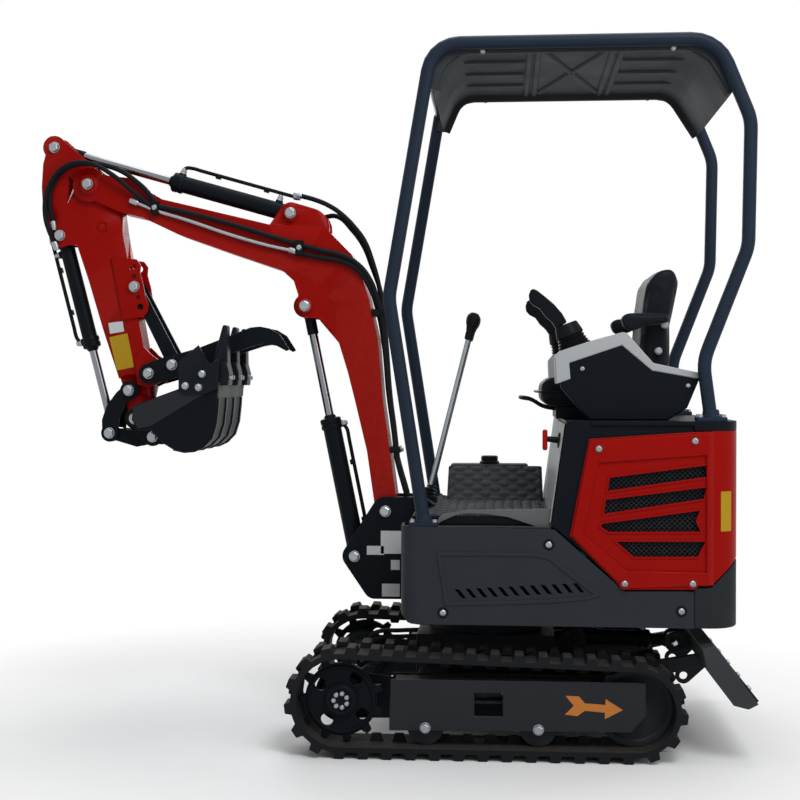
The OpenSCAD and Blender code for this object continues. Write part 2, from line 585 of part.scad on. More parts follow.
module bucket_teeth() from_slew() color(grey) for (k = [-1, 0, 1])
    slab(k * (bucket_w / 2 - 50) - 28, 56) polygon([for (p = [[876, 1167], [896, 1167], [902, 1172], [900, 1235],
        [866, 1358], [852, 1358], [850, 1230], [862, 1172]]) bucket_at(p[0], p[1])]);

track_left();
track_right();
track_frame_left();
track_frame_right();
sprocket_left();
sprocket_right();
idler_left();
idler_right();
rollers_left();
rollers_right();
travel_motors();
centre_frame();
slew_ring();
blade();
blade_barrel();
blade_rod();
house_frame();
boom_bracket();
side_panel_left();
side_panel_right();
hood_left();
hood_right();
hood_rear();
grille_left();
grille_right();
counterweight();
engine_block();
deck();
floor_mat();
right_tank();
seat_base();
seat_cushion();
seat_back();
armrest_left();
armrest_right();
console_left();
console_right();
joystick_left();
joystick_right();
travel_levers();
canopy_left();
canopy_right();
canopy_bars();
canopy_roof();
boom();
boom_barrel();
boom_rod();
arm_barrel();
arm_rod();
arm();
thumb_bracket();
thumb();
bucket_barrel();
bucket_rod();
rocker();
bucket_link();
bucket();
bucket_teeth();
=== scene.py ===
"""Dresses the mini excavator: camera, light, finishes, and the fittings that its plain solids lack."""

import json
import logging
import math
from dataclasses import dataclass
from enum import Enum
from typing import Iterable, Sequence

import bpy
from mathutils import Matrix, Vector

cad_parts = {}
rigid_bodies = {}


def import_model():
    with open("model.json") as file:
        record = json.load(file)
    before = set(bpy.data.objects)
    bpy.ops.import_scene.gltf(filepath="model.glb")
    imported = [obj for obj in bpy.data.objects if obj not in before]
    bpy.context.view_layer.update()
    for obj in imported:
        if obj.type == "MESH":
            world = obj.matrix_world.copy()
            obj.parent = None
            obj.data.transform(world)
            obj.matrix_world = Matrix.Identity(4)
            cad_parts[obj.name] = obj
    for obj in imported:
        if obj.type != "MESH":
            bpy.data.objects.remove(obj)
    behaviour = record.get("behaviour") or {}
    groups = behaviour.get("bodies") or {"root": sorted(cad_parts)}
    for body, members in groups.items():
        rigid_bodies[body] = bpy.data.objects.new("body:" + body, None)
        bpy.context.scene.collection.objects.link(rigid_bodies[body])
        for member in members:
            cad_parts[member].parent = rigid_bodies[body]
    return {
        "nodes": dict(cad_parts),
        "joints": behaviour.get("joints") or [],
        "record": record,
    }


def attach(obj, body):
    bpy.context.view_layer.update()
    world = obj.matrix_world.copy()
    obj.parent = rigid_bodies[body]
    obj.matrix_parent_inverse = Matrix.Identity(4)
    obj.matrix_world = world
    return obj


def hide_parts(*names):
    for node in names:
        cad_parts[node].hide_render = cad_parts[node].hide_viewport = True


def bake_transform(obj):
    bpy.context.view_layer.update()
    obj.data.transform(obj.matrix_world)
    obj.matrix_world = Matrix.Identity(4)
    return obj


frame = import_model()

LOG = logging.getLogger("excavator")
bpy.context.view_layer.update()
NODES: dict[str, bpy.types.Object] = frame["nodes"]
BODY_OF: dict[str, str] = {
    node: body for body, nodes in frame["record"]["behaviour"]["bodies"].items() for node in nodes
}
SLEW_X: float = next(j for j in frame["joints"] if j["name"] == "slew")["pos_m"][0]
Piece = bpy.types.Object
Pair = tuple[float, float]
Point = tuple[float, float, float]

# Points closer than this are welded, in metres.
WELD_M = 2e-5
# Faces within this angle count as one flat face, in degrees.
FLAT_ANGLE = 0.4
# Edges sharper than this are rounded, in degrees.
SHARP_ANGLE = 35.0
# Edges flatter than these shade smoothly, in degrees: on hoses and soft pieces, and on small fittings.
SOFT_ANGLE = 60.0
BOLT_ANGLE = 25.0
# Height at which a bolt's head begins, just inside its washer, in metres.
HEAD_FOOT_M = 0.0028
# Noise cells to the metre: broad drifts of tone, and the specks of wear and dust.
DRIFT_SCALE = 7.0
SPECK_SCALE = 90.0
# The drift's usual range, and the most that wear or dust hides of the colour below.
DRIFT_RANGE = (0.3, 0.7)
MOST_COVER = 0.5
# How far an edge stands out where its wear begins and where it is full.
WEAR_RANGE = (0.56, 0.68)
# How far a face has to look up before dust lies on it.
DUST_FROM = 0.4
# Roughness of a clear coat, and the reflection of bare metal.
COAT_ROUGH = 0.12
METAL_SHINE = 0.5


class Side(Enum):
    """Left or right of the machine, as the operator sits."""

    LEFT = 1
    RIGHT = -1


class Plane(Enum):
    """The plane that an outline is drawn in: its two axes, then the axis of its thickness."""

    SIDE = (0, 2, 1)
    PLAN = (0, 1, 2)
    FRONT = (1, 2, 0)


class Body(Enum):
    """The moving groups that carry the fittings."""

    UNDERCARRIAGE = "undercarriage"
    BLADE = "blade_group"
    BLADE_BARREL = "blade_barrel_group"
    BLADE_ROD = "blade_rod_group"
    HOUSE = "house"
    BOOM = "boom_group"
    BOOM_BARREL = "boom_barrel_group"
    BOOM_ROD = "boom_rod_group"
    ARM = "arm_group"
    ARM_BARREL = "arm_barrel_group"
    ARM_ROD = "arm_rod_group"
    BUCKET_BARREL = "bucket_barrel_group"
    BUCKET_ROD = "bucket_rod_group"
    BUCKET = "bucket_group"
    ROCKER = "rocker_group"


def mm(x: float, y: float, z: float) -> Vector:
    """Turns millimetres from the slew axis into a point of the shared frame.

    Args:
        x: Distance ahead of the slew axis.
        y: Distance to the left of the middle.
        z: Height above the ground.

    Returns:
        The point in metres.
    """
    return Vector((SLEW_X + x / 1000, y / 1000, z / 1000))


def linear(code: str) -> tuple[float, float, float, float]:
    """Turns an sRGB hex colour into linear RGBA.

    Args:
        code: Six hex digits with a leading hash.

    Returns:
        Linear red, green, blue and an alpha of one.
    """
    parts = [int(code[i : i + 2], 16) / 255 for i in (1, 3, 5)]
    return (*(c / 12.92 if c <= 0.04045 else ((c + 0.055) / 1.055) ** 2.4 for c in parts), 1.0)


def add_node(tree: bpy.types.NodeTree, kind: str, links: dict | None = None, **settings) -> bpy.types.Node:
    """Adds a shader node, sets it and links it.

    Args:
        tree: The node tree.
        kind: The node's type name.
        links: Input name or number to an output socket or a plain value.
        **settings: Properties of the node.

    Returns:
        The new node.
    """
    node = tree.nodes.new(kind)
    for key, value in settings.items():
        setattr(node, key, value)
    for key, value in (links or {}).items():
        if isinstance(value, bpy.types.NodeSocket):
            tree.links.new(value, node.inputs[key])
        else:
            node.inputs[key].default_value = value
    return node


def noise(tree: bpy.types.NodeTree, place: bpy.types.NodeSocket, scale: float,
          detail: float) -> bpy.types.NodeSocket:
    """Adds a noise to a node tree.

    Args:
        tree: The node tree.
        place: Where the noise takes its point from.
        scale: Its cells to the metre.
        detail: How many finer layers it has.

    Returns:
        The socket of its value.
    """
    return add_node(tree, "ShaderNodeTexNoise",
                    {"Vector": place, "Scale": scale, "Detail": detail}).outputs[0]


def combined(
    tree: bpy.types.NodeTree, one: bpy.types.NodeSocket, two: bpy.types.NodeSocket, how: str = "MULTIPLY"
) -> bpy.types.NodeSocket:
    """Works out one value from two.

    Args:
        tree: The node tree.
        one: The first value.
        two: The second value.
        how: What is done with them.

    Returns:
        The socket of the result.
    """
    return add_node(tree, "ShaderNodeMath", {0: one, 1: two}, operation=how).outputs[0]


def coloured(
    tree: bpy.types.NodeTree, share: bpy.types.NodeSocket, under: bpy.types.NodeSocket | tuple, over: str
) -> bpy.types.NodeSocket:
    """Lays a colour over another.

    Args:
        tree: The node tree.
        share: How much of the upper colour shows.
        under: The lower colour.
        over: The upper colour, in hex digits.

    Returns:
        The socket of the mixed colour.
    """
    links = {0: share, 6: under, 7: linear(over)}
    return add_node(tree, "ShaderNodeMix", links, data_type="RGBA").outputs[2]


@dataclass(frozen=True)
class Finish:
    """A surface: what it is made of and how it was made.

    Attributes:
        name: The common name of the material.
        colour: Its main colour.
        tint: The colour that it drifts to in patches.
        rough: Roughness in the middle of its spread.
        spread: How far roughness drifts either way.
        metal: One for bare metal.
        grain_mm: Size of the surface's grain.
        grain: Strength of the grain's bump.
        depth_mm: Height of the grain.
        coat: Weight of a clear coat.
        worn: Colour of rubbed edges, or nothing.
        dust: Colour of the dust that lies on faces that look up, or nothing.
        sheen: Weight of a soft sheen.
        shine: Level of the surface's own reflection.
    """

    name: str
    colour: str
    tint: str
    rough: float
    spread: float = 0.06
    metal: float = 0.0
    grain_mm: float = 6.0
    grain: float = 0.15
    depth_mm: float = 0.4
    coat: float = 0.0
    worn: str | None = None
    dust: str | None = None
    sheen: float = 0.0
    shine: float = 0.06

    def material(self) -> bpy.types.Material:
        """Builds the material once.

        Returns:
            The material.
        """
        made = bpy.data.materials.get(self.name)
        if made:
            return made
        made = bpy.data.materials.new(self.name)
        made.use_nodes = True
        tree = made.node_tree
        shader = tree.nodes["Principled BSDF"]
        shader.inputs["Metallic"].default_value = self.metal
        shader.inputs["Coat Weight"].default_value = self.coat
        shader.inputs["Coat Roughness"].default_value = COAT_ROUGH
        shader.inputs["Sheen Weight"].default_value = self.sheen
        shader.inputs["Specular IOR Level"].default_value = METAL_SHINE if self.metal == 1 else self.shine
        place = add_node(tree, "ShaderNodeTexCoord").outputs["Object"]
        drift = noise(tree, place, DRIFT_SCALE, 4.0)
        colour = coloured(tree, drift, linear(self.colour), self.tint)
        shape = add_node(tree, "ShaderNodeNewGeometry")
        speck = noise(tree, place, SPECK_SCALE, 3.0)
        if self.worn:
            edge = add_node(tree, "ShaderNodeMapRange", {
                "Value": shape.outputs["Pointiness"], "From Min": WEAR_RANGE[0], "From Max": WEAR_RANGE[1],
                "To Max": MOST_COVER}).outputs[0]
            colour = coloured(tree, combined(tree, edge, speck), colour, self.worn)
        if self.dust:
            up = add_node(tree, "ShaderNodeSeparateXYZ", {0: shape.outputs["Normal"]}).outputs[2]
            lie = add_node(tree, "ShaderNodeMapRange", {
                "Value": up, "From Min": DUST_FROM, "To Max": MOST_COVER}).outputs[0]
            colour = coloured(tree, combined(tree, lie, speck), colour, self.dust)
        tree.links.new(colour, shader.inputs["Base Color"])
        grain = noise(tree, place, 1000.0 / self.grain_mm, 2.0)
        rough = add_node(tree, "ShaderNodeMapRange", {
            "Value": drift, "From Min": DRIFT_RANGE[0], "From Max": DRIFT_RANGE[1],
            "To Min": self.rough - self.spread, "To Max": self.rough + self.spread}).outputs[0]
        bump = add_node(tree, "ShaderNodeBump", {
            "Height": grain, "Strength": self.grain, "Distance": self.depth_mm / 1000}).outputs[0]
        tree.links.new(rough, shader.inputs["Roughness"])
        tree.links.new(bump, shader.inputs["Normal"])
        return made


# Two-pack enamel, sprayed: deep red with a faint orange peel, paler where its edges are rubbed.
RED = Finish("red enamel", "#960b06", "#8a0a05", 0.34, grain_mm=12, grain=0.08, coat=0.03, worn="#b8443a",
             shine=0.05)
# Powder coat: dark grey with a fine pebble that breaks up the highlights.
GREY = Finish("grey powder coat", "#2e3237", "#292d31", 0.5, grain_mm=6, grain=0.25)
# Chassis enamel: darker grey, satin, dusty on top.
CHASSIS = Finish("chassis enamel", "#2c2e32", "#26282c", 0.46, grain_mm=7, grain=0.15, dust="#6d6a64")
# Blade plate: dark grey enamel, rubbed on its edges.
PLATE = Finish("blade enamel", "#3c3f42", "#34373a", 0.45, grain_mm=7, grain=0.2, worn="#9a9b9a")
# Powder coat: near black, satin.
BLACK = Finish("black powder coat", "#0f141a", "#0b1015", 0.45, grain_mm=6, grain=0.18, worn="#454a50")
# Powder coat of the tubes: dark slate with a blue cast.
SLATE = Finish("slate powder coat", "#242e3c", "#1f2834", 0.36, grain_mm=6, grain=0.12)
# Cast iron under satin paint: coarse skin from the sand mould.
CAST = Finish("painted cast iron", "#2b2e32", "#232629", 0.55, grain_mm=8, grain=0.4, depth_mm=0.8)
# Moulded track rubber: dull, with a dusty bloom.
RUBBER = Finish("track rubber", "#17191c", "#202225", 0.72, 0.08, grain_mm=8, grain=0.35, depth_mm=0.7,
                dust="#5c5750")
# Hose rubber: the wrapped cover leaves a fine cross grain.
HOSE = Finish("hose rubber", "#121417", "#1b1d20", 0.55, grain_mm=4, grain=0.3)
# Moulded ABS with a leather-like grain.
ABS = Finish("grained ABS", "#0f141a", "#0c1015", 0.46, grain_mm=5, grain=0.35)
# Vacuum-formed polyethylene: waxy dark grey with soft highlights.
POLY = Finish("formed polyethylene", "#3a3e41", "#34373a", 0.55, grain_mm=14, grain=0.08, shine=0.03)
# Light grey moulded ABS; on the deck front its pale grey is partly the panel's own colour and partly a
# painted reflection.
TRIM_AND_PAINTED_REFLECTION = Finish("light grey ABS", "#a9adaf", "#9fa3a5", 0.42, grain_mm=5, grain=0.2)
# Hard chrome on a ground rod.
CHROME = Finish("hard chrome", "#84878b", "#787b7f", 0.16, 0.03, metal=1.0, grain_mm=5, grain=0.03)
# Zinc-plated steel of pipes, bolts and levers: pale, slightly cloudy.
ZINC = Finish("zinc-plated steel", "#a3a8ac", "#868b8f", 0.33, metal=1.0, grain_mm=5, grain=0.1)
# Forged steel with black scale, bright where it digs.
FORGED = Finish("forged steel", "#14181d", "#1d2126", 0.42, metal=0.4, grain_mm=7, grain=0.3, worn="#7a7d80")
# Vinyl seat cover with an embossed hide grain.
VINYL = Finish("seat vinyl", "#161b21", "#11151a", 0.48, grain_mm=4, grain=0.45, sheen=0.08)
# Quilted leatherette of the mat: soft, dull, with a fine hide grain.
QUILT = Finish("quilted leatherette", "#3a3e42", "#32363a", 0.6, grain_mm=4, grain=0.3, shine=0.04)
# Needle felt along the mat's edge: grey, dull and fibrous.
FELT = Finish("grey felt", "#66696c", "#55585a", 0.9, grain_mm=4, grain=0.6, sheen=0.1)
# Nitrile knobs and boots; the same near black also paints shade behind the hood's louvres and under the mat's
# edge.
NITRILE_AND_PAINTED_SHADE = Finish("moulded nitrile", "#0f1113", "#15171a", 0.4, grain_mm=5, grain=0.12)
# Signal red nylon.
SIGNAL = Finish("red nylon", "#b51a14", "#a51510", 0.4, grain_mm=6, grain=0.1)
# Foil of the blank plates.
YELLOW = Finish("yellow foil", "#b08d26", "#a88620", 0.4, grain_mm=20, grain=0.04)
WHITE = Finish("white foil", "#c9ccce", "#bfc3c5", 0.4, grain_mm=20, grain=0.04)
# Foil of the direction marks.
ORANGE = Finish("orange foil", "#c07839", "#b67033", 0.42, grain_mm=20, grain=0.04)
# Pale studio board.
BOARD = Finish("studio board", "#f4f5f6", "#f1f2f3", 0.8, grain_mm=60, grain=0.02)


def hold(*pieces: Piece) -> None:
    """Takes pieces in hand: they alone are selected, and the first is active.

    Args:
        *pieces: What to select, or nothing to let go of everything.
    """
    if bpy.context.object and bpy.context.object.mode != "OBJECT":
        bpy.ops.object.mode_set(mode="OBJECT")
    bpy.ops.object.select_all(action="DESELECT")
    for piece in pieces:
        piece.select_set(True)
    if pieces:
        bpy.context.view_layer.objects.active = pieces[0]


def opened(piece: Piece) -> None:
    """Takes a piece in hand and opens its mesh for editing, with all of it selected.

    Args:
        piece: The piece.
    """
    hold(piece)
    bpy.ops.object.mode_set(mode="EDIT")
    bpy.ops.mesh.select_all(action="SELECT")


def closed() -> None:
    """Turns the faces of the open mesh outwards and ends its editing."""
    bpy.ops.mesh.select_all(action="SELECT")
    bpy.ops.mesh.normals_make_consistent(inside=False)
    bpy.ops.object.mode_set(mode="OBJECT")


def modified(piece: Piece, kind: str, **settings) -> Piece:
    """Adds a modifier to a piece, sets it and applies it.

    Args:
        piece: The piece.
        kind: The modifier's type name.
        **settings: Its properties.

    Returns:
        The piece.
    """
    hold(piece)
    bpy.ops.object.modifier_add(type=kind)
    added = piece.modifiers[-1]
    for key, value in settings.items():
        setattr(added, key, value)
    bpy.ops.object.modifier_apply(modifier=added.name)
    return piece


def round_edges(piece: Piece, width: float, steps: int = 2, clamp: bool = True) -> Piece:
    """Rounds the sharp edges of a piece.

    Args:
        piece: The piece.
        width: Width of the rounding in millimetres.
        steps: Facets across the rounding.
        clamp: Whether roundings stop where they would meet.

    Returns:
        The piece.
    """
    if width <= 0:
        return piece
    return modified(
        piece, "BEVEL", width=width / 1000, segments=steps, use_clamp_overlap=clamp,
        limit_method="ANGLE", angle_limit=math.radians(SHARP_ANGLE))


def laid(outline: Sequence[Pair], plane: Plane, depth: float, fill: str = "NGON") -> Piece:
    """Draws an outline in its plane.

    Args:
        outline: Corners in millimetres, in order.
        plane: The plane of the outline.
        depth: Where the plane lies.
        fill: NGON for a face, or NOTHING for its edge alone.

    Returns:
        The flat piece.
    """
    hold()
    bpy.ops.mesh.primitive_circle_add(vertices=len(outline), radius=1, fill_type=fill, location=(0, 0, 0))
    piece = bpy.context.object
    a, b, c = plane.value
    for vert, corner in zip(piece.data.vertices, outline):
        spot = [0.0, 0.0, 0.0]
        spot[a], spot[b], spot[c] = corner[0], corner[1], depth
        vert.co = mm(*spot)
    return piece


def drawn(piece: Piece, plane: Plane, depth: float, edge: float, steps: int) -> Piece:
    """Draws a flat piece out to its thickness.

    Args:
        piece: The flat piece.
        plane: The plane that it lies in.
        depth: Its thickness in millimetres.
        edge: Rounding of its edges.
        steps: Facets across the rounding.

    Returns:
        The piece.
    """
    shift = [0.0, 0.0, 0.0]
    shift[plane.value[2]] = depth / 1000
    opened(piece)
    bpy.ops.mesh.extrude_region_move(TRANSFORM_OT_translate={"value": shift})
    closed()
    return round_edges(piece, edge, steps)


def flat(
    outline: Sequence[Pair], plane: Plane, start: float, end: float, edge: float = 1.5, steps: int = 2
) -> Piece:
    """Cuts a plate to an outline and draws it out to its thickness.

    Args:
        outline: Corners in millimetres, in order.
        plane: The plane of the outline.
        start: Where the thickness begins.
        end: Where the thickness ends.
        edge: Rounding of its edges.
        steps: Facets across the rounding.

    Returns:
        The plate.
    """
    return drawn(laid(outline, plane, start), plane, end - start, edge, steps)


def framed(
    outer: Sequence[Pair], inner: Sequence[Pair], plane: Plane, start: float, end: float, edge: float = 1.5
) -> Piece:
    """Cuts a frame between two outlines with as many corners.

    Args:
        outer: Corners of its outside in millimetres, in order.
        inner: Corners of its inside, in the same order.
        plane: The plane of the outlines.
        start: Where the thickness begins.
        end: Where the thickness ends.
        edge: Rounding of its edges.

    Returns:
        The frame.
    """
    piece = joined([laid(outer, plane, start, "NOTHING"), laid(inner, plane, start, "NOTHING")])
    opened(piece)
    bpy.ops.mesh.bridge_edge_loops()
    return drawn(piece, plane, end - start, edge, 2)


def grown(outline: Sequence[Pair], by: float) -> list[Pair]:
    """Moves each side of an outline outwards.

    Args:
        outline: Corners, in order.
        by: How far the sides move, or inwards where it is negative.

    Returns:
        The new outline.
    """
    corners = [Vector(corner) for corner in outline]
    area = sum(a.x * b.y - b.x * a.y for a, b in zip(corners, corners[1:] + corners[:1]))
    reach, made = math.copysign(by, area * by), []
    for i, here in enumerate(corners):
        one, two = (here - corners[i - 1]).normalized(), (corners[(i + 1) % len(corners)] - here).normalized()
        out = Vector((one.y + two.y, -one.x - two.x))
        made.append(tuple(here + out * reach / (1 + one.dot(two))))
    return made


def block(lo: Point, hi: Point, edge: float = 2.0, steps: int = 2) -> Piece:
    """Makes a block between two corners, with rounded edges.

    Args:
        lo: Lowest corner in millimetres.
        hi: Highest corner in millimetres.
        edge: Rounding of its edges.
        steps: Facets across the rounding.

    Returns:
        The block.
    """
    corners = [(lo[0], lo[2]), (hi[0], lo[2]), (hi[0], hi[2]), (lo[0], hi[2])]
    return flat(corners, Plane.SIDE, lo[1], hi[1], edge, steps)


def placed(at: Point, way: Point = (0, 0, 1)) -> Matrix:
    """Finds the place of a pattern that was made at the shared origin.

    Args:
        at: Where it goes, in millimetres.
        way: The direction that its +Z looks in there.

    Returns:
        The place.
    """
    return Matrix.Translation(mm(*at)) @ Vector(way).to_track_quat("Z", "Y").to_matrix().to_4x4()


def turned(profile: Sequence[Pair], at: Point | None = None, way: Point = (0, 0, 1),
           sides: int = 24) -> Piece:
    """Turns a piece on a lathe.

    Args:
        profile: Radius and height of its corners in millimetres, round its half section.
        at: Where its axis begins, in millimetres, or nothing for the shared origin.
        way: The direction of its axis.
        sides: Facets round it.

    Returns:
        The piece.
    """
    hold()
    bpy.ops.mesh.primitive_circle_add(vertices=len(profile), radius=1, fill_type="NOTHING",
                                      location=(0, 0, 0))
    piece = bpy.context.object
    for vert, (radius, height) in zip(piece.data.vertices, profile):
        vert.co = (radius / 1000, 0, height / 1000)
    opened(piece)
    bpy.ops.mesh.spin(steps=sides, angle=math.tau, center=(0, 0, 0), axis=(0, 0, 1))
    bpy.ops.mesh.select_all(action="SELECT")
    bpy.ops.mesh.remove_doubles(threshold=WELD_M)
    bpy.ops.mesh.delete_loose()
    closed()
    if at:
        piece.data.transform(placed(at, way))
    return piece


def hex_bolt(radius: float, height: float) -> Piece:
    """Makes a hexagon bolt head on its washer, looking up from the shared origin.

    Args:
        radius: Radius over the head's corners in millimetres.
        height: Height of the head.

    Returns:
        The bolt.
    """
    hold()
    bpy.ops.mesh.primitive_cylinder_add(
        vertices=6, radius=radius / 1000, depth=height / 1000, location=(0, 0, height / 2000 + HEAD_FOOT_M))
    head = bpy.context.object
    bpy.ops.object.transform_apply(location=True)
    bpy.ops.object.mode_set(mode="EDIT")
    bpy.ops.mesh.select_all(action="DESELECT")
    bpy.ops.object.mode_set(mode="OBJECT")
    for face in head.data.polygons:
        face.select = face.normal.z > 0.9
    bpy.ops.object.mode_set(mode="EDIT")
    bpy.ops.mesh.inset(thickness=0.18 * radius / 1000)
    bpy.ops.transform.translate(value=(0, 0, 0.1 * radius / 1000))
    bpy.ops.object.mode_set(mode="OBJECT")
    round_edges(head, 0.05 * radius, 1)
    r = 1.12 * radius
    return joined([turned([(0.4 * radius, 0), (r, 0), (r, 2.2), (r - 0.8, 3), (0.4 * radius, 3)]), head])


def cup_screw(radius: float) -> Piece:
    """Makes a round-headed screw with a socket, looking up from the shared origin.

    Args:
        radius: Radius of the head in millimetres.

    Returns:
        The screw.
    """
    r = radius
    return turned([(0, 0), (r, 0), (r, 0.22 * r), (0.86 * r, 0.5 * r), (0.6 * r, 0.7 * r),
                   (0.42 * r, 0.74 * r), (0.36 * r, 0.3 * r), (0, 0.3 * r)])


def tube(points: Sequence[Point], radius: float, fine: int = 3, curl: int = 8) -> Piece:
    """Bends a round tube or hose through points.

    Args:
        points: The points that its middle passes, in millimetres.
        radius: Its radius in millimetres.
        fine: Facets in a quarter of its section, less one.
        curl: Steps between two points.

    Returns:
        The tube, as a mesh.
    """
    hold()
    bpy.ops.curve.primitive_bezier_curve_add(location=(0, 0, 0))
    piece = bpy.context.object
    line = piece.data.splines[0]
    line.bezier_points.add(len(points) - 2)
    for knot, point in zip(line.bezier_points, points):
        knot.co = mm(*point)
        knot.handle_left_type = knot.handle_right_type = "AUTO"
    line.resolution_u = curl
    piece.data.bevel_depth, piece.data.bevel_resolution, piece.data.use_fill_caps = radius / 1000, fine, True
    hold(piece)
    bpy.ops.object.convert(target="MESH")
    return bpy.context.object


def trimmed(piece: Piece, outline: Sequence[Pair], plane: Plane) -> Piece:
    """Cuts a sheet back to a convex outline.

    Args:
        piece: The sheet.
        outline: Corners in millimetres, in order.
        plane: The plane of the outline.

    Returns:
        The piece.
    """
    a, b, _ = plane.value
    spots = []
    for corner in outline:
        spot = [0.0, 0.0, 0.0]
        spot[a], spot[b] = corner
        spots.append(mm(*spot))
    middle = sum(spots, Vector()) / len(spots)
    for start, end in zip(spots, spots[1:] + spots[:1]):
        out = Vector((0, 0, 0))
        out[a], out[b] = (end - start)[b], -(end - start)[a]
        if out.dot(middle - start) > 0:
            out.negate()
        opened(piece)
        bpy.ops.mesh.bisect(plane_co=start, plane_no=out, clear_outer=True)
        bpy.ops.object.mode_set(mode="OBJECT")
    return piece


def netting(spot: Point, size: Pair, cell: float, plane: Plane) -> Piece:
    """Lays a square net of faces, turned on its corner.

    Args:
        spot: Its middle in millimetres.
        size: The lengths that it has to cover.
        cell: Side of one cell.
        plane: The plane that it lies in.

    Returns:
        The sheet of faces.
    """
    reach = math.hypot(*size) * 0.55
    count = max(4, round(2 * reach / cell))
    hold()
    bpy.ops.mesh.primitive_grid_add(
        x_subdivisions=count, y_subdivisions=count, size=2 * reach / 1000, location=(0, 0, 0))
    net = bpy.context.object
    lie = {Plane.PLAN: Matrix.Identity(4), Plane.SIDE: Matrix.Rotation(math.pi / 2, 4, "X"),
           Plane.FRONT: Matrix.Rotation(math.pi / 2, 4, "Y")}[plane]
    net.data.transform(Matrix.Translation(mm(*spot)) @ lie @ Matrix.Rotation(math.radians(45.0), 4, "Z"))
    return net


def joined(pieces: Iterable[Piece]) -> Piece:
    """Welds pieces into one.

    Args:
        pieces: The pieces, of which the first gives its name.

    Returns:
        The one piece.
    """
    all_pieces = list(pieces)
    hold(*all_pieces)
    if len(all_pieces) > 1:
        bpy.ops.object.join()
    return all_pieces[0]


def copies(pattern: Piece, places: Iterable[Matrix]) -> Piece:
    """Sets copies of a pattern at places, and takes the pattern away.

    Args:
        pattern: The piece to repeat, made at the shared origin.
        places: Where each copy goes.

    Returns:
        All the copies as one piece.
    """
    made = []
    for place in places:
        twin = pattern.copy()
        twin.data = pattern.data.copy()
        twin.data.transform(place)
        bpy.context.collection.objects.link(twin)
        made.append(twin)
    bpy.data.objects.remove(pattern)
    return joined(made)


def mirrored(piece: Piece) -> Piece:
    """Adds a piece's mirror image across the middle of the machine.

    Args:
        piece: The piece on one side.

    Returns:
        Both sides as one piece.
    """
    twin = piece.copy()
    twin.data = piece.data.copy()
    twin.data.transform(Matrix.Scale(-1, 4, (0, 1, 0)))
    twin.data.flip_normals()
    bpy.context.collection.objects.link(twin)
    return joined([piece, twin])


def dressed(piece: Piece, name: str, finish: Finish, body: Body | str, smooth: float = 35.0) -> Piece:
    """Names a piece, gives it its finish and sets it on what carries it.

    Args:
        piece: The piece.
        name: Its plain name.
        finish: Its surface.
        body: The moving group that carries it.
        smooth: Edges flatter than this shade smoothly, in degrees.

    Returns:
        The piece.
    """
    piece.name = piece.data.name = name
    piece.data.materials.clear()
    piece.data.materials.append(finish.material())
    hold(piece)
    bpy.ops.object.shade_smooth_by_angle(angle=math.radians(smooth))
    modified(piece, "WEIGHTED_NORMAL", keep_sharp=True)
    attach(piece, body.value if isinstance(body, Body) else body)
    LOG.info("made %s", name)
    return piece


def softened(node: str, finish: Finish, edge: float = 2.0, steps: int = 2, tidy: bool = True) -> Piece:
    """Stands a piece with rounded edges in for a plain solid.

    Args:
        node: The solid's name.
        finish: Its surface.
        edge: Rounding of its edges in millimetres.
        steps: Facets across the rounding.
        tidy: Whether flat faces are drawn together first.

    Returns:
        The rounded piece.
    """
    piece = NODES[node].copy()
    piece.data = NODES[node].data.copy()
    for key in list(piece.keys()):
        del piece[key]
    piece.parent = None
    piece.matrix_world = Matrix.Identity(4)
    bpy.context.collection.objects.link(piece)
    opened(piece)
    bpy.ops.mesh.remove_doubles(threshold=WELD_M)
    if tidy:
        bpy.ops.mesh.dissolve_limited(angle_limit=math.radians(FLAT_ANGLE))
    bpy.ops.object.mode_set(mode="OBJECT")
    round_edges(piece, edge, steps, clamp=False)
    dressed(piece, node + "_shell", finish, BODY_OF[node])
    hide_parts(node)
    return piece


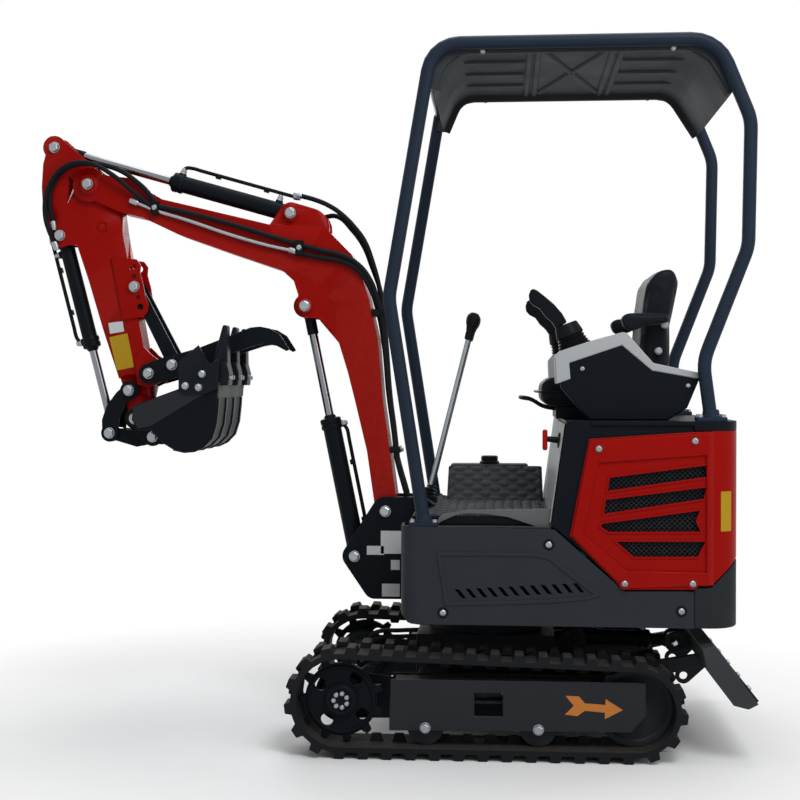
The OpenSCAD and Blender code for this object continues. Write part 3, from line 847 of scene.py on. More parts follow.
@dataclass
class Studio:
    """The camera, the light and the pale floor.

    Attributes:
        eye: Where the camera stands, in metres.
        turn: How far the camera looks off the square, in degrees.
        dip: How far it looks down, in degrees.
        lens: Its focal length in millimetres.
        sensor: Width of its sensor in millimetres.
        glow: Strength of the world's light on the machine.
        board: Radius of the floor, in metres.
        fade: Where the floor begins to fade to white, and where it is white, in metres from the middle.
    """

    eye: Point = (-0.3975, 4.765, 1.17)
    turn: float = 4.17
    dip: float = 0.74
    lens: float = 63.0
    sensor: float = 36.0
    glow: float = 0.3
    board: float = 9.0
    fade: Pair = (0.9, 2.2)

    def camera(self) -> None:
        """Sets the camera at the photograph's viewing angle."""
        hold()
        bpy.ops.object.camera_add(location=self.eye)
        seen = bpy.context.object
        a, d = math.radians(self.turn), math.radians(self.dip)
        look = Vector((math.sin(a) * math.cos(d), -math.cos(a) * math.cos(d), -math.sin(d)))
        seen.rotation_euler = look.to_track_quat("-Z", "Y").to_euler()
        seen.data.lens, seen.data.sensor_width = self.lens, self.sensor
        bpy.context.scene.camera = seen

    def light(self) -> None:
        """Hangs soft lamps over the machine and gives the world a white backdrop."""
        scene = bpy.context.scene
        scene.view_settings.view_transform = "Standard"
        for name, place, aim, size, power in (
            ("key", (-1.6, 3.4, 4.8), (-0.2, 0.0, 1.0), 2.0, 125.0),
            ("fill", (-3.4, 3.6, 3.0), (-0.4, 0.0, 0.9), 2.4, 45.0),
            ("top", (-0.3, -0.6, 5.2), (-0.3, 0.0, 1.0), 3.0, 90.0),
            ("back", (0.8, -4.2, 3.2), (-0.3, 0.0, 1.0), 2.6, 60.0),
        ):
            hold()
            bpy.ops.object.light_add(type="AREA", location=place)
            lamp = bpy.context.object
            lamp.name = name
            lamp.data.size, lamp.data.energy = size, power
            lamp.rotation_euler = (Vector(aim) - Vector(place)).to_track_quat("-Z", "Y").to_euler()
        world = scene.world or bpy.data.worlds.new("studio")
        scene.world = world
        world.use_nodes = True
        self.backdrop(world.node_tree, world.node_tree.nodes["Background"])

    @staticmethod
    def seen(tree: bpy.types.NodeTree) -> bpy.types.NodeSocket:
        """Picks out the rays of the camera, of glossy faces and through glass.

        Args:
            tree: The node tree.

        Returns:
            The socket that is one for those rays.
        """
        path = add_node(tree, "ShaderNodeLightPath").outputs
        direct = combined(tree, path["Is Camera Ray"], path["Is Glossy Ray"], "MAXIMUM")
        return combined(tree, direct, path["Is Transmission Ray"], "MAXIMUM")

    def backdrop(self, tree: bpy.types.NodeTree, shader: bpy.types.Node) -> None:
        """Shows the camera, glossy faces and glass a plain white, and lights the rest more softly.

        Args:
            tree: The world's node tree.
            shader: Its background node.
        """
        power = add_node(tree, "ShaderNodeMapRange", {
            "Value": self.seen(tree), "To Min": self.glow, "To Max": 1.0})
        shader.inputs["Color"].default_value = (1.0, 1.0, 1.0, 1.0)
        tree.links.new(power.outputs[0], shader.inputs["Strength"])

    def floor(self) -> None:
        """Lays a pale board that keeps the shadow near the machine and fades to white further out."""
        hold()
        bpy.ops.mesh.primitive_circle_add(vertices=96, radius=self.board, fill_type="NGON",
                                          location=(0, 0, 0))
        board = bpy.context.object
        board.name = "floor"
        board.data.materials.append(BOARD.material())
        tree = BOARD.material().node_tree
        place = add_node(tree, "ShaderNodeTexCoord").outputs["Object"]
        reach = add_node(tree, "ShaderNodeVectorMath", {0: place}, operation="LENGTH").outputs[1]
        fade = add_node(tree, "ShaderNodeMapRange", {
            "Value": reach, "From Min": self.fade[0], "From Max": self.fade[1]}).outputs[0]
        share = combined(tree, fade, self.seen(tree))
        white = add_node(tree, "ShaderNodeEmission",
                         {"Color": (1.0, 1.0, 1.0, 1.0), "Strength": 1.0}).outputs[0]
        paint = tree.nodes["Principled BSDF"].outputs[0]
        mixed = add_node(tree, "ShaderNodeMixShader", {0: share, 1: paint, 2: white}).outputs[0]
        tree.links.new(mixed, tree.nodes["Material Output"].inputs["Surface"])

    def build(self) -> None:
        """Sets the whole studio."""
        self.camera()
        self.light()
        self.floor()


def beside(start: Pair, end: Pair, along: float, off: float, y: float = 0.0) -> Point:
    """Finds a point beside a line in the side plane.

    Args:
        start: Where the line begins.
        end: Where it ends.
        along: How far along it the point is, in millimetres.
        off: How far to the left of it.
        y: How far to the left of the machine's middle.

    Returns:
        The point.
    """
    a = math.atan2(end[1] - start[1], end[0] - start[0])
    return (start[0] + along * math.cos(a) - off * math.sin(a), y,
            start[1] + along * math.sin(a) + off * math.cos(a))


def band(line: Sequence[Pair], up: float, down: float = 0.0) -> list[Pair]:
    """Draws a strip along a line.

    Args:
        line: Points of the line.
        up: How far the strip reaches to the left of the line.
        down: How far it reaches to the right.

    Returns:
        The strip's outline.
    """
    sides: list[list[Pair]] = [[], []]
    for i, (x, z) in enumerate(line):
        before, after = line[max(i - 1, 0)], line[min(i + 1, len(line) - 1)]
        a = math.atan2(after[1] - before[1], after[0] - before[0])
        for side, reach in zip(sides, (up, -down)):
            side.append((x - reach * math.sin(a), z + reach * math.cos(a)))
    return sides[0] + sides[1][::-1]


def both(x: float, y: float, z: float) -> list[tuple[Point, Point]]:
    """Names a spot on the left and its twin on the right, each looking outwards.

    Args:
        x: Distance ahead of the slew axis.
        y: Distance from the middle.
        z: Height.

    Returns:
        Two spots with their directions.
    """
    return [((x, y, z), (0, 1, 0)), ((x, -y, z), (0, -1, 0))]


def repeated(
    pattern: Piece, spots: Iterable[tuple[Point, Point]], name: str, finish: Finish, body: Body
) -> Piece:
    """Sets a small fitting at each of its spots.

    Args:
        pattern: The fitting, made at the shared origin.
        spots: Points and the directions that it looks in there.
        name: Plain name of the set.
        finish: Its surface.
        body: What carries it.

    Returns:
        The set as one piece.
    """
    return dressed(copies(pattern, [placed(at, way) for at, way in spots]), name, finish, body, BOLT_ANGLE)


@dataclass
class Cylinder:
    """A hydraulic cylinder: barrel, rod, gland, ports and the pipe that feeds the far port.

    Attributes:
        name: Its name, as in the solids' names.
        base: Pin at the barrel's base.
        eye: Pin at the rod's eye.
        length: Length of the barrel from its base pin.
        radius: Radius of the barrel.
        rod: Radius of the rod.
        barrel_body: What moves with the barrel.
        rod_body: What moves with the rod.
        side: Where the ports look: one for the left of the line from base to eye, minus one for the right.
        pipe: Distance of the pipe from the barrel's axis, or nought for none.
        sleeve: Length of the painted end of the rod.
    """

    name: str
    base: Pair
    eye: Pair
    length: float
    radius: float
    rod: float
    barrel_body: Body
    rod_body: Body
    side: int = 1
    pipe: float = 0.0
    sleeve: float = 74.0

    def way(self) -> Point:
        """Gives the direction from the base to the eye."""
        reach = math.dist(self.base, self.eye)
        return ((self.eye[0] - self.base[0]) / reach, 0.0, (self.eye[1] - self.base[1]) / reach)

    def gland(self) -> None:
        """Turns the gland nut with its wiper."""
        r, b = self.rod, self.radius
        at = beside(self.base, self.eye, self.length - 36, 0)
        nut = turned([(b - 4, 0), (b + 3, 0), (b + 5, 3), (b + 5, 12), (b + 3.4, 14), (b + 3.4, 19),
                      (b + 5, 21), (b + 5, 33), (b + 2, 37), (r + 7, 39), (r + 5, 44), (r + 0.8, 44),
                      (r + 0.8, 36), (b - 4, 36)],
                     at, self.way(), 32)
        dressed(nut, self.name + "_gland", BLACK, self.barrel_body)
        at = beside(self.base, self.eye, self.length + 8, 0)
        dressed(turned([(r + 0.6, 0), (r + 4, 0), (r + 2.4, 4), (r + 0.6, 5)], at, self.way()),
                self.name + "_wiper", NITRILE_AND_PAINTED_SHADE, self.barrel_body)

    def ports(self) -> None:
        """Sets a boss and a plated fitting at each end of the barrel."""
        x, _, z = self.way()
        look = (-z * self.side, 0.0, x * self.side)
        spots = [(beside(self.base, self.eye, a, self.side * (self.radius - 3)), look)
                 for a in (58, self.length - 24)]
        repeated(turned([(0, 0), (13, 0), (13, 8), (11, 10), (0, 10)]), spots, self.name + "_bosses", BLACK,
                 self.barrel_body)
        pattern = joined([hex_bolt(11, 9), turned([(0, 11), (8, 11), (8, 17), (6.5, 19), (0, 19)])])
        pattern.data.transform(Matrix.Translation((0, 0, 0.009)))
        repeated(pattern, spots, self.name + "_fittings", ZINC, self.barrel_body)

    def rod_end(self) -> None:
        """Turns the painted end of the rod, next to its eye."""
        at = beside(self.base, self.eye, math.dist(self.base, self.eye) - 22 - self.sleeve, 0)
        r, end = self.rod + 4, self.sleeve
        piece = turned([(self.rod - 2, 0), (r - 1, 0), (r, 2), (r, end - 16), (r + 4, end - 8),
                        (r + 4, end), (self.rod - 2, end)],
                       at, self.way(), 28)
        dressed(piece, self.name + "_rod_end", BLACK, self.rod_body)

    def feed(self) -> None:
        """Bends the pipe that runs from the far port back to the base."""
        far, off = self.length - 24, self.side * self.pipe
        spots = [(far, self.side * (self.radius + 18)), (far - 4, off * 0.9), (far - 24, off),
                 (far - 60, off), (self.length * 0.5, off), (90, off), (40, off), (12, off)]
        dressed(tube([beside(self.base, self.eye, *spot) for spot in spots], 6.5), self.name + "_pipe", BLACK,
                self.barrel_body, SOFT_ANGLE)
        stand = flat([(-9, 0), (9, 0), (9, 6), (7, 14), (-7, 14), (-9, 6)], Plane.SIDE, -9, 9, 2)
        stand.data.transform(Matrix.Translation((-SLEW_X, 0, 0)))
        x, _, z = self.way()
        look = Matrix(((x, 0, -z * self.side, 0), (0, self.side, 0, 0), (z, 0, x * self.side, 0),
                       (0, 0, 0, 1)))
        spots = [beside(self.base, self.eye, a, off - self.side * 12) for a in (110, self.length * 0.66)]
        stands = copies(stand, [Matrix.Translation(mm(*spot)) @ look for spot in spots])
        dressed(stands, self.name + "_pipe_stands", BLACK, self.barrel_body)
        end = beside(self.base, self.eye, 14, off)
        dressed(turned([(0, 0), (9, 0), (10, 2), (10, 13), (8, 15), (8, 24), (0, 24)], end,
                       [-c for c in self.way()], 12),
                self.name + "_pipe_fitting", ZINC, self.barrel_body)

    def build(self) -> None:
        """Builds the whole cylinder."""
        softened(self.name + "_barrel", BLACK, 2.0)
        softened(self.name + "_rod", CHROME, 1.0)
        self.gland()
        self.ports()
        self.rod_end()
        if self.pipe:
            self.feed()


@dataclass
class DiggingGear:
    """The boom, arm, bucket and thumb with their pins, cylinders and hoses.

    Attributes:
        boom_y: Side face of the boom.
        arm_y: Side face of the arm.
        bucket_y: Side face of the bucket.
        hose: Radius of a hose.
    """

    boom_y: float = 62.0
    arm_y: float = 45.0
    bucket_y: float = 220.0
    hose: float = 8.5

    def shells(self) -> None:
        """Rounds the castings and plates."""
        for node in ("boom", "arm"):
            softened(node, RED, 0.0, tidy=False)
        for node, finish, edge in (
            ("thumb_bracket", RED, 2.0), ("thumb", BLACK, 1.5), ("rocker", BLACK, 2.0),
            ("bucket_link", BLACK, 2.0), ("bucket", BLACK, 1.5), ("bucket_teeth", FORGED, 5.0),
        ):
            softened(node, finish, edge)

    def pins(self) -> None:
        """Sets plated bolts on the ends of each pin, and the pins that the solids leave out."""
        for name, x, z, y, body in (
            ("boom_foot", 336, 736, 90, Body.HOUSE), ("boom_base", 440, 584, 90, Body.HOUSE),
            ("boom_eye", 610, 1427, 72, Body.BOOM), ("arm_base", 661, 1742, 58, Body.BOOM),
            ("arm_eye", 1480, 1975, 45, Body.ARM), ("arm_pin", 1353, 1843, 84, Body.ARM),
            ("bucket_base", 1460, 1673, 51, Body.ARM), ("rocker_pin", 1218, 1141, 63, Body.ARM),
            ("rod_pin", 1287, 995, 57, Body.ROCKER), ("bucket_pin", 1194, 1045, 80, Body.ARM),
            ("link_pin", 1134, 983, 70.5, Body.BUCKET), ("thumb_pin", 1144, 1199, 84, Body.ARM),
            ("strut_low", 1063, 1228, 84, Body.ARM), ("strut_high", 1200, 1496, 55, Body.ARM),
        ):
            repeated(hex_bolt(17, 11), both(x, y, z), name + "_bolts", ZINC, body)
        for name, x, z, r, y, body in (
            ("boom_eye_pin", 610, 1427, 17.4, 72, Body.BOOM), ("arm_eye_pin", 1480, 1975, 17.4, 45, Body.ARM),
            ("rod_pin_pin", 1287, 995, 15.4, 57, Body.ROCKER),
        ):
            pin = turned([(0, 0), (r - 2, 0), (r, 2), (r, 2 * y - 2), (r - 2, 2 * y), (0, 2 * y)],
                         (x, -y, z), (0, 1, 0))
            dressed(pin, name, ZINC, body)
        for name, x, z, r, y, high, body in (
            ("rocker_pin_collars", 1218, 1141, 24, 57.1, 6.4, Body.ARM),
            ("bucket_pin_collars", 1194, 1045, 27, 70.6, 9.8, Body.ARM),
        ):
            ring = turned([(r - 8, 0), (r, 0), (r, high - 1.5), (r - 1.5, high), (r - 8, high)])
            repeated(ring, both(x, y, z), name, BLACK, body)

    def plates(self) -> None:
        """Welds doublers and gussets to boom and arm, and sticks on the blank plates."""
        doubler = [(690, 1549), (651, 1518), (634, 1464), (640, 1415), (610, 1388), (562, 1384),
                   (510, 1330), (508, 1418), (560, 1500), (642, 1545)]
        dressed(mirrored(flat(doubler, Plane.SIDE, self.boom_y - 1, self.boom_y + 4, 1.5)), "boom_doublers",
                RED, Body.BOOM)
        gusset = [(1168, 1290), (1140, 1262), (1104, 1236), (1112, 1190), (1112, 1168), (1150, 1150),
                  (1190, 1160), (1200, 1250)]
        dressed(mirrored(flat(gusset, Plane.SIDE, self.arm_y - 1, self.arm_y + 12, 2)), "thumb_gussets",
                RED, Body.ARM)
        ring = turned([(12, 0), (19, 0), (19, 3), (17, 5), (14, 5), (12, 3)])
        repeated(ring, both(1311, self.arm_y - 1, 1703), "arm_bosses", RED, Body.ARM)
        for name, finish, outline in (
            ("arm_blank_plate", WHITE, [(1293, 1372), (1243, 1378), (1238, 1343), (1287, 1335)]),
            ("arm_sign_blank", YELLOW, [(1290, 1323), (1227, 1337), (1203, 1221), (1263, 1209)]),
        ):
            dressed(flat(outline, Plane.SIDE, self.arm_y, self.arm_y + 2.6, 0.3, 1), name, finish, Body.ARM)
        spots = [s for x, z in ((1200, 1532), (1186, 1460)) for s in both(x, 55, z)]
        repeated(turned([(3, 0), (7, 0), (7, 1), (5, 1.6), (3, 1.6)]), spots, "bracket_bushes", BLACK,
                 Body.ARM)

    def bucket_trim(self) -> None:
        """Adds the cheek plates, side cutters, lip, tooth adapters and wear strips of the bucket."""
        y = self.bucket_y
        cheek = [(1160, 1088), (1006, 1144), (896, 1146), (1098, 1026), (1144, 1015), (1162, 1046)]
        dressed(mirrored(flat(cheek, Plane.SIDE, y - 1, y + 4, 2)), "bucket_cheeks", CHASSIS, Body.BUCKET)
        cutter = [(1006, 1236), (939, 1291), (913, 1245), (903, 1229), (871, 1247), (875, 1148),
                  (913, 1132), (978, 1130), (1006, 1146)]
        dressed(mirrored(flat(cutter, Plane.SIDE, y + 4, y + 14, 2)), "side_cutters", FORGED, Body.BUCKET)
        spots = [s for x, z in ((927, 1196), (983, 1157), (939, 1152)) for s in both(x, y + 14, z)]
        repeated(hex_bolt(11, 7), spots, "cutter_bolts", ZINC, Body.BUCKET)
        lip = band([(881, 1118), (877, 1169)], 5, 0)
        dressed(flat(lip, Plane.SIDE, -y, y, 1.5), "bucket_lip", PLATE, Body.BUCKET)
        shape = [(846, 1158), (908, 1158), (912, 1200), (904, 1232), (853, 1238), (843, 1200)]
        made = [flat(shape, Plane.SIDE, k * 170 - 36, k * 170 + 36, 4) for k in (-1, 0, 1)]
        dressed(joined(made), "tooth_adapters", FORGED, Body.BUCKET)
        spots = [((844, k * 170 + s, 1185), (-1, 0, 0)) for k in (-1, 0, 1) for s in (-20, 20)]
        repeated(hex_bolt(8, 5), spots, "adapter_bolts", ZINC, Body.BUCKET)
        wear = band([(1030, 948), (992, 940), (960, 943), (930, 957), (903, 985), (889, 1030), (883, 1085),
                     (881, 1116)], 5, 1)
        made = [flat(wear, Plane.SIDE, k - 9, k + 9, 1.2) for k in (-200, -68, 68, 200)]
        dressed(joined(made), "wear_strips", FORGED, Body.BUCKET)

    def lines(self) -> None:
        """Lays the lines along the boom and the hoses that cross its two ends."""
        y, r = self.boom_y, self.hose
        tips = (
            [(1117, y + 12, 1769), (1140, y + 14, 1806), (1187, y + 16, 1852), (1250, y + 18, 1892),
             (1331, y + 18, 1911), (1400, y + 14, 1908), (1450, y + 8, 1882), (1482, y, 1838),
             (1492, y - 2, 1780), (1484, 50, 1720)],
            [(1117, y + 12, 1752), (1160, y + 16, 1786), (1204, y + 22, 1822), (1264, y + 34, 1872),
             (1324, y + 38, 1905), (1372, y + 36, 1914), (1425, y + 30, 1903), (1468, y + 20, 1870),
             (1500, y + 8, 1812), (1508, y, 1745), (1496, y - 4, 1690), (1480, 48, 1650)],
        )
        for i, points in enumerate(tips):
            hose = tube(points, r)
            dressed(hose, f"tip_hose_{i + 1}", HOSE, Body.BOOM, SOFT_ANGLE)
            self.crossing(hose, Body.BOOM, Body.ARM, (1150, 60, 1880), (1470, 60, 1880))
        runs = (
            [(1121, y + 12, 1769), (1010, y + 12, 1744), (904, y + 12, 1716), (786, y + 12, 1681),
             (690, y + 12, 1651), (628, y + 12, 1634), (550, y + 12, 1612), (480, y + 12, 1594),
             (428, y + 12, 1564), (388, y + 8, 1512), (366, y, 1450), (350, 55, 1386), (340, 52, 1280),
             (326, 50, 1128), (312, 50, 1010), (302, 50, 910)],
            [(650, y + 12, 1612), (600, y + 12, 1598), (540, y + 12, 1586), (480, y + 12, 1574),
             (430, y + 12, 1546), (392, y + 2, 1490), (368, 44, 1420), (346, 34, 1300), (330, 30, 1128),
             (314, 30, 1010), (302, 30, 910)],
            [(630, 0, 1806), (582, 0, 1792), (536, 0, 1772), (490, 2, 1740), (444, 6, 1692),
             (414, 10, 1650), (388, 10, 1583), (360, 10, 1474), (342, 10, 1310), (328, 10, 1128),
             (313, 10, 1010), (302, 10, 910)],
            [(612, -62, 1720), (560, -50, 1738), (510, -30, 1738), (458, -16, 1690), (418, -10, 1634),
             (392, -10, 1570), (360, -10, 1474), (342, -10, 1310), (328, -10, 1128), (313, -10, 1010),
             (302, -10, 910)],
        )
        for i, points in enumerate(runs):
            hose = tube(points, r)
            dressed(hose, f"boom_hose_{i + 1}", HOSE, Body.BOOM, SOFT_ANGLE)
            if i == 2:
                self.crossing(hose, Body.ARM_BARREL, Body.BOOM, (600, 0, 1800), (470, 4, 1720))
        pipe = [(1196, y + 12, 1783), (1165, y + 12, 1771), (1118, y + 12, 1752), (1022, y + 12, 1722),
                (845, y + 12, 1662), (740, y + 12, 1632), (640, y + 12, 1610)]
        dressed(tube(pipe, 7), "boom_line", ZINC, Body.BOOM, SOFT_ANGLE)
        for i, k in enumerate((30, 50, 10, -10)):
            foot = [(302, k, 912), (288, k, 860), (272, k, 805), (262, k * 0.9, 765), (250, k * 0.9, 725),
                    (232, k * 0.9, 702), (200, k * 0.9, 699)]
            hose = tube(foot, r)
            dressed(hose, f"foot_hose_{i + 1}", HOSE, Body.HOUSE, SOFT_ANGLE)
            self.crossing(hose, Body.HOUSE, Body.BOOM, (240, 0, 712), (300, 0, 905))

    @staticmethod
    def crossing(hose: Piece, near: Body, far: Body, start: Point, end: Point) -> None:
        """Frees a hose that crosses a joint from the group that carried it, leaving it where it stands.

        Args:
            hose: The hose.
            near: The group at its start; not used.
            far: The group at its end; not used.
            start: Where it stops following the first, in millimetres; not used.
            end: Where it only follows the second; not used.
        """
        hold(hose)
        bpy.ops.object.parent_clear(type="CLEAR_KEEP_TRANSFORM")
        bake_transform(hose)

    def clamps(self) -> None:
        """Bolts the clamps that hold the lines to the boom, and crimps the ends of the hoses."""
        y = self.boom_y
        made = [block((1108, y - 1, 1738), (1136, y + 24, 1784), 3),
                block((614, y - 1, 1596), (642, y + 24, 1648), 3),
                block((332, -22, 1392), (386, 66, 1416), 3), block((288, -22, 930), (328, 62, 952), 3)]
        dressed(joined(made), "hose_clamps", NITRILE_AND_PAINTED_SHADE, Body.BOOM)
        spots = [((1122, y + 24, 1761), (0, 1, 0)), ((628, y + 24, 1622), (0, 1, 0)),
                 ((332, 20, 1404), (-1, 0, 0)), ((288, 20, 941), (-1, 0, 0))]
        repeated(hex_bolt(8, 5), spots, "clamp_bolts", ZINC, Body.BOOM)
        crimp = [(0, 0), (9.5, 0), (11.5, 3), (11.5, 22), (10, 25), (10, 30), (0, 30)]
        made = [turned(crimp, (1484, 50, 1722), (-0.1, -0.1, -1)),
                turned(crimp, (1480, 48, 1652), (-0.3, -0.1, -1))]
        dressed(joined(made), "tip_ferrules", ZINC, Body.ARM)
        dressed(turned(crimp, (630, 0, 1806), (1, 0, 0.2)), "arm_pipe_ferrule", ZINC, Body.ARM_BARREL)
        made = [turned(crimp, (612, -62, 1720), (0.6, -0.1, -0.8)),
                turned(crimp, (1180, y + 12, 1777), (1, 0, 0.38)),
                turned(crimp, (664, y + 12, 1616), (-1, 0, -0.28))]
        dressed(joined(made), "boom_ferrules", ZINC, Body.BOOM)

    def build(self) -> None:
        """Builds the digging gear."""
        self.shells()
        for cylinder in (
            Cylinder("boom", (440, 584), (610, 1427), 470, 31, 15, Body.BOOM_BARREL, Body.BOOM_ROD, 1, 50),
            Cylinder("arm", (661, 1742), (1480, 1975), 430, 29, 15, Body.ARM_BARREL, Body.ARM_ROD, 1, 61),
            Cylinder("bucket", (1460, 1673), (1287, 995), 395, 26, 14, Body.BUCKET_BARREL, Body.BUCKET_ROD,
                     1, 46, 26),
            Cylinder("blade", (-300, 310), (-630, 300), 250, 27, 15, Body.BLADE_BARREL, Body.BLADE_ROD, -1),
        ):
            cylinder.build()
        self.pins()
        self.plates()
        self.bucket_trim()
        self.lines()
        self.clamps()


@dataclass
class Undercarriage:
    """The tracks with their frames and wheels, the middle frame and the dozer blade.

    Attributes:
        plate_y: Outer face of the track frames.
        sprocket: Middle of the drive sprocket.
        rollers: Middles of the lower rollers.
        bolt_z: Height of the rollers' bolts.
        belt_y: Middle of each belt.
        pitch: Spacing of the guide lugs.
        lugs: How many of them there are along each run.
        first_x: Where the rearmost ones are, from the slew axis.
        run_z: Inner faces of the lower run, and of the upper run at the sprocket.
        slope: How fast the upper run falls away from the sprocket.
    """

    plate_y: float = 439.0
    sprocket: Pair = (449, 174)
    rollers: Pair = (183, -167)
    bolt_z: float = 96.0
    belt_y: float = 379.0
    pitch: float = 72.0
    lugs: int = 11
    first_x: float = -380.0
    run_z: Pair = (38, 310)
    slope: float = 0.0307

    def shells(self) -> None:
        """Rounds the frames, wheels and tracks."""
        for node, finish, edge in (
            ("track_left", RUBBER, 3.0), ("track_right", RUBBER, 3.0),
            ("track_frame_left", CHASSIS, 2.5), ("track_frame_right", CHASSIS, 2.5),
            ("centre_frame", CHASSIS, 4.0), ("sprocket_left", BLACK, 2.0), ("sprocket_right", BLACK, 2.0),
            ("idler_left", CHASSIS, 2.0), ("idler_right", CHASSIS, 2.0), ("rollers_left", CHASSIS, 2.0),
            ("rollers_right", CHASSIS, 2.0), ("travel_motors", CAST, 4.0), ("slew_ring", CAST, 3.0),
            ("blade", PLATE, 3.0),
        ):
            softened(node, finish, edge)

    def wheels(self) -> None:
        """Bolts the sprocket hubs and the rollers, and sticks on the direction marks."""
        x, z = self.sprocket
        ring = [math.tau * i / 7 for i in range(7)]
        spots = [s for a in ring for s in both(x + 22 * math.cos(a), 425, z + 22 * math.sin(a))]
        repeated(hex_bolt(7, 5), spots, "hub_bolts", ZINC, Body.UNDERCARRIAGE)
        rim = turned([(96, 0), (108, 0), (108, 3), (105, 6), (99, 6), (96, 3)], sides=48)
        repeated(rim, both(x, 408.5, z), "sprocket_rims", BLACK, Body.UNDERCARRIAGE)
        cap = turned([(33, 0), (48, 0), (48, 2), (44, 6), (36, 6), (33, 3)], sides=36)
        repeated(cap, both(x, 424.5, z), "hub_rings", BLACK, Body.UNDERCARRIAGE)
        spots = [s for at in self.rollers for s in both(at, self.plate_y - 0.5, self.bolt_z)]
        repeated(hex_bolt(15.5, 10), spots, "roller_bolts", ZINC, Body.UNDERCARRIAGE)
        arrow = [(-250, 203), (-291, 202), (-309, 181), (-372, 177), (-372, 195), (-425, 162), (-370, 133),
                 (-370, 153), (-309, 158), (-286, 141), (-248, 145), (-275, 173)]
        y = self.plate_y
        marks = mirrored(flat(arrow, Plane.SIDE, y - 0.5, y + 0.7, 0.3, 1))
        dressed(marks, "direction_marks", ORANGE, Body.UNDERCARRIAGE)

    def guides(self) -> None:
        """Sets the guide lugs in the middle of each belt's inner face, along both of its runs."""
        lug = flat([(-22, -1), (22, -1), (14, 26), (-14, 26)], Plane.SIDE, -5.5, 5.5, 2)
        lug.data.transform(Matrix.Translation((-SLEW_X, 0, 0)))
        places, over = [], Matrix.Rotation(math.pi, 4, "X")
        low, high = self.run_z
        for x in (self.first_x + self.pitch * i for i in range(self.lugs)):
            top = high - (self.sprocket[0] - x) * self.slope
            for y in (self.belt_y, -self.belt_y):
                places += [Matrix.Translation(mm(x, y, low)), Matrix.Translation(mm(x, y, top)) @ over]
        dressed(copies(lug, places), "track_guides", RUBBER, Body.UNDERCARRIAGE)

    def tensioners(self) -> None:
        """Lays the grease cylinder of each track, and the hoses of each travel motor."""
        barrel = turned([(0, 0), (21, 0), (23, 3), (23, 22), (20, 26), (20, 240), (24, 246), (24, 292),
                         (20, 300), (0, 300)],
                        (-250, self.belt_y, 200), (1, 0, 0), 28)
        dressed(mirrored(barrel), "track_tensioners", CAST, Body.UNDERCARRIAGE)
        nipple = turned([(0, 0), (7, 0), (7, 6), (4, 8), (5, 14), (3, 17), (0, 17)], (-60, 398, 200),
                        (0, 1, 0), 12)
        dressed(mirrored(nipple), "grease_nipples", ZINC, Body.UNDERCARRIAGE)
        made = [tube([(430, 243, 215 + k), (400, 215, 250 + k), (300, 190, 265 + k), (225, 180, 270 + k)], 8)
                for k in (0, 22)]
        dressed(mirrored(joined(made)), "motor_hoses", HOSE, Body.UNDERCARRIAGE, SOFT_ANGLE)
        crimp = [(0, 0), (12, 0), (12, 8), (10, 10), (10, 26), (8, 28), (0, 28)]
        made = [turned(crimp, (434, 246, 208 + k), (-0.75, -0.4, 0.6), 12) for k in (0, 22)]
        dressed(mirrored(joined(made)), "motor_fittings", ZINC, Body.UNDERCARRIAGE)

    def blade_trim(self) -> None:
        """Bolts the cutting edge to the blade and leads its two hoses."""
        edge = [(-827, 197), (-789, 246), (-794.5, 250), (-832.5, 201.5)]
        dressed(flat(edge, Plane.SIDE, -462, 462, 1.2), "cutting_edge", FORGED, Body.BLADE)
        spots = [((-811, k * 100, 227), (-0.789, 0, 0.615)) for k in (-4, -2, 0, 2, 4)]
        repeated(cup_screw(10), spots, "edge_bolts", ZINC, Body.BLADE)
        for i, points in enumerate((
            [(-222, 70, 300), (-270, 75, 345), (-310, 60, 352), (-345, 30, 344), (-357, 8, 326)],
            [(-222, -70, 300), (-300, -75, 358), (-440, -45, 350), (-510, -18, 338), (-526, -4, 322)],
        )):
            hose = tube(points, 7.5)
            dressed(hose, f"blade_hose_{i + 1}", HOSE, Body.UNDERCARRIAGE, SOFT_ANGLE)
            DiggingGear.crossing(hose, Body.UNDERCARRIAGE, Body.BLADE_BARREL, points[0], points[2])

    def build(self) -> None:
        """Builds the undercarriage."""
        self.shells()
        self.wheels()
        self.guides()
        self.tensioners()
        self.blade_trim()


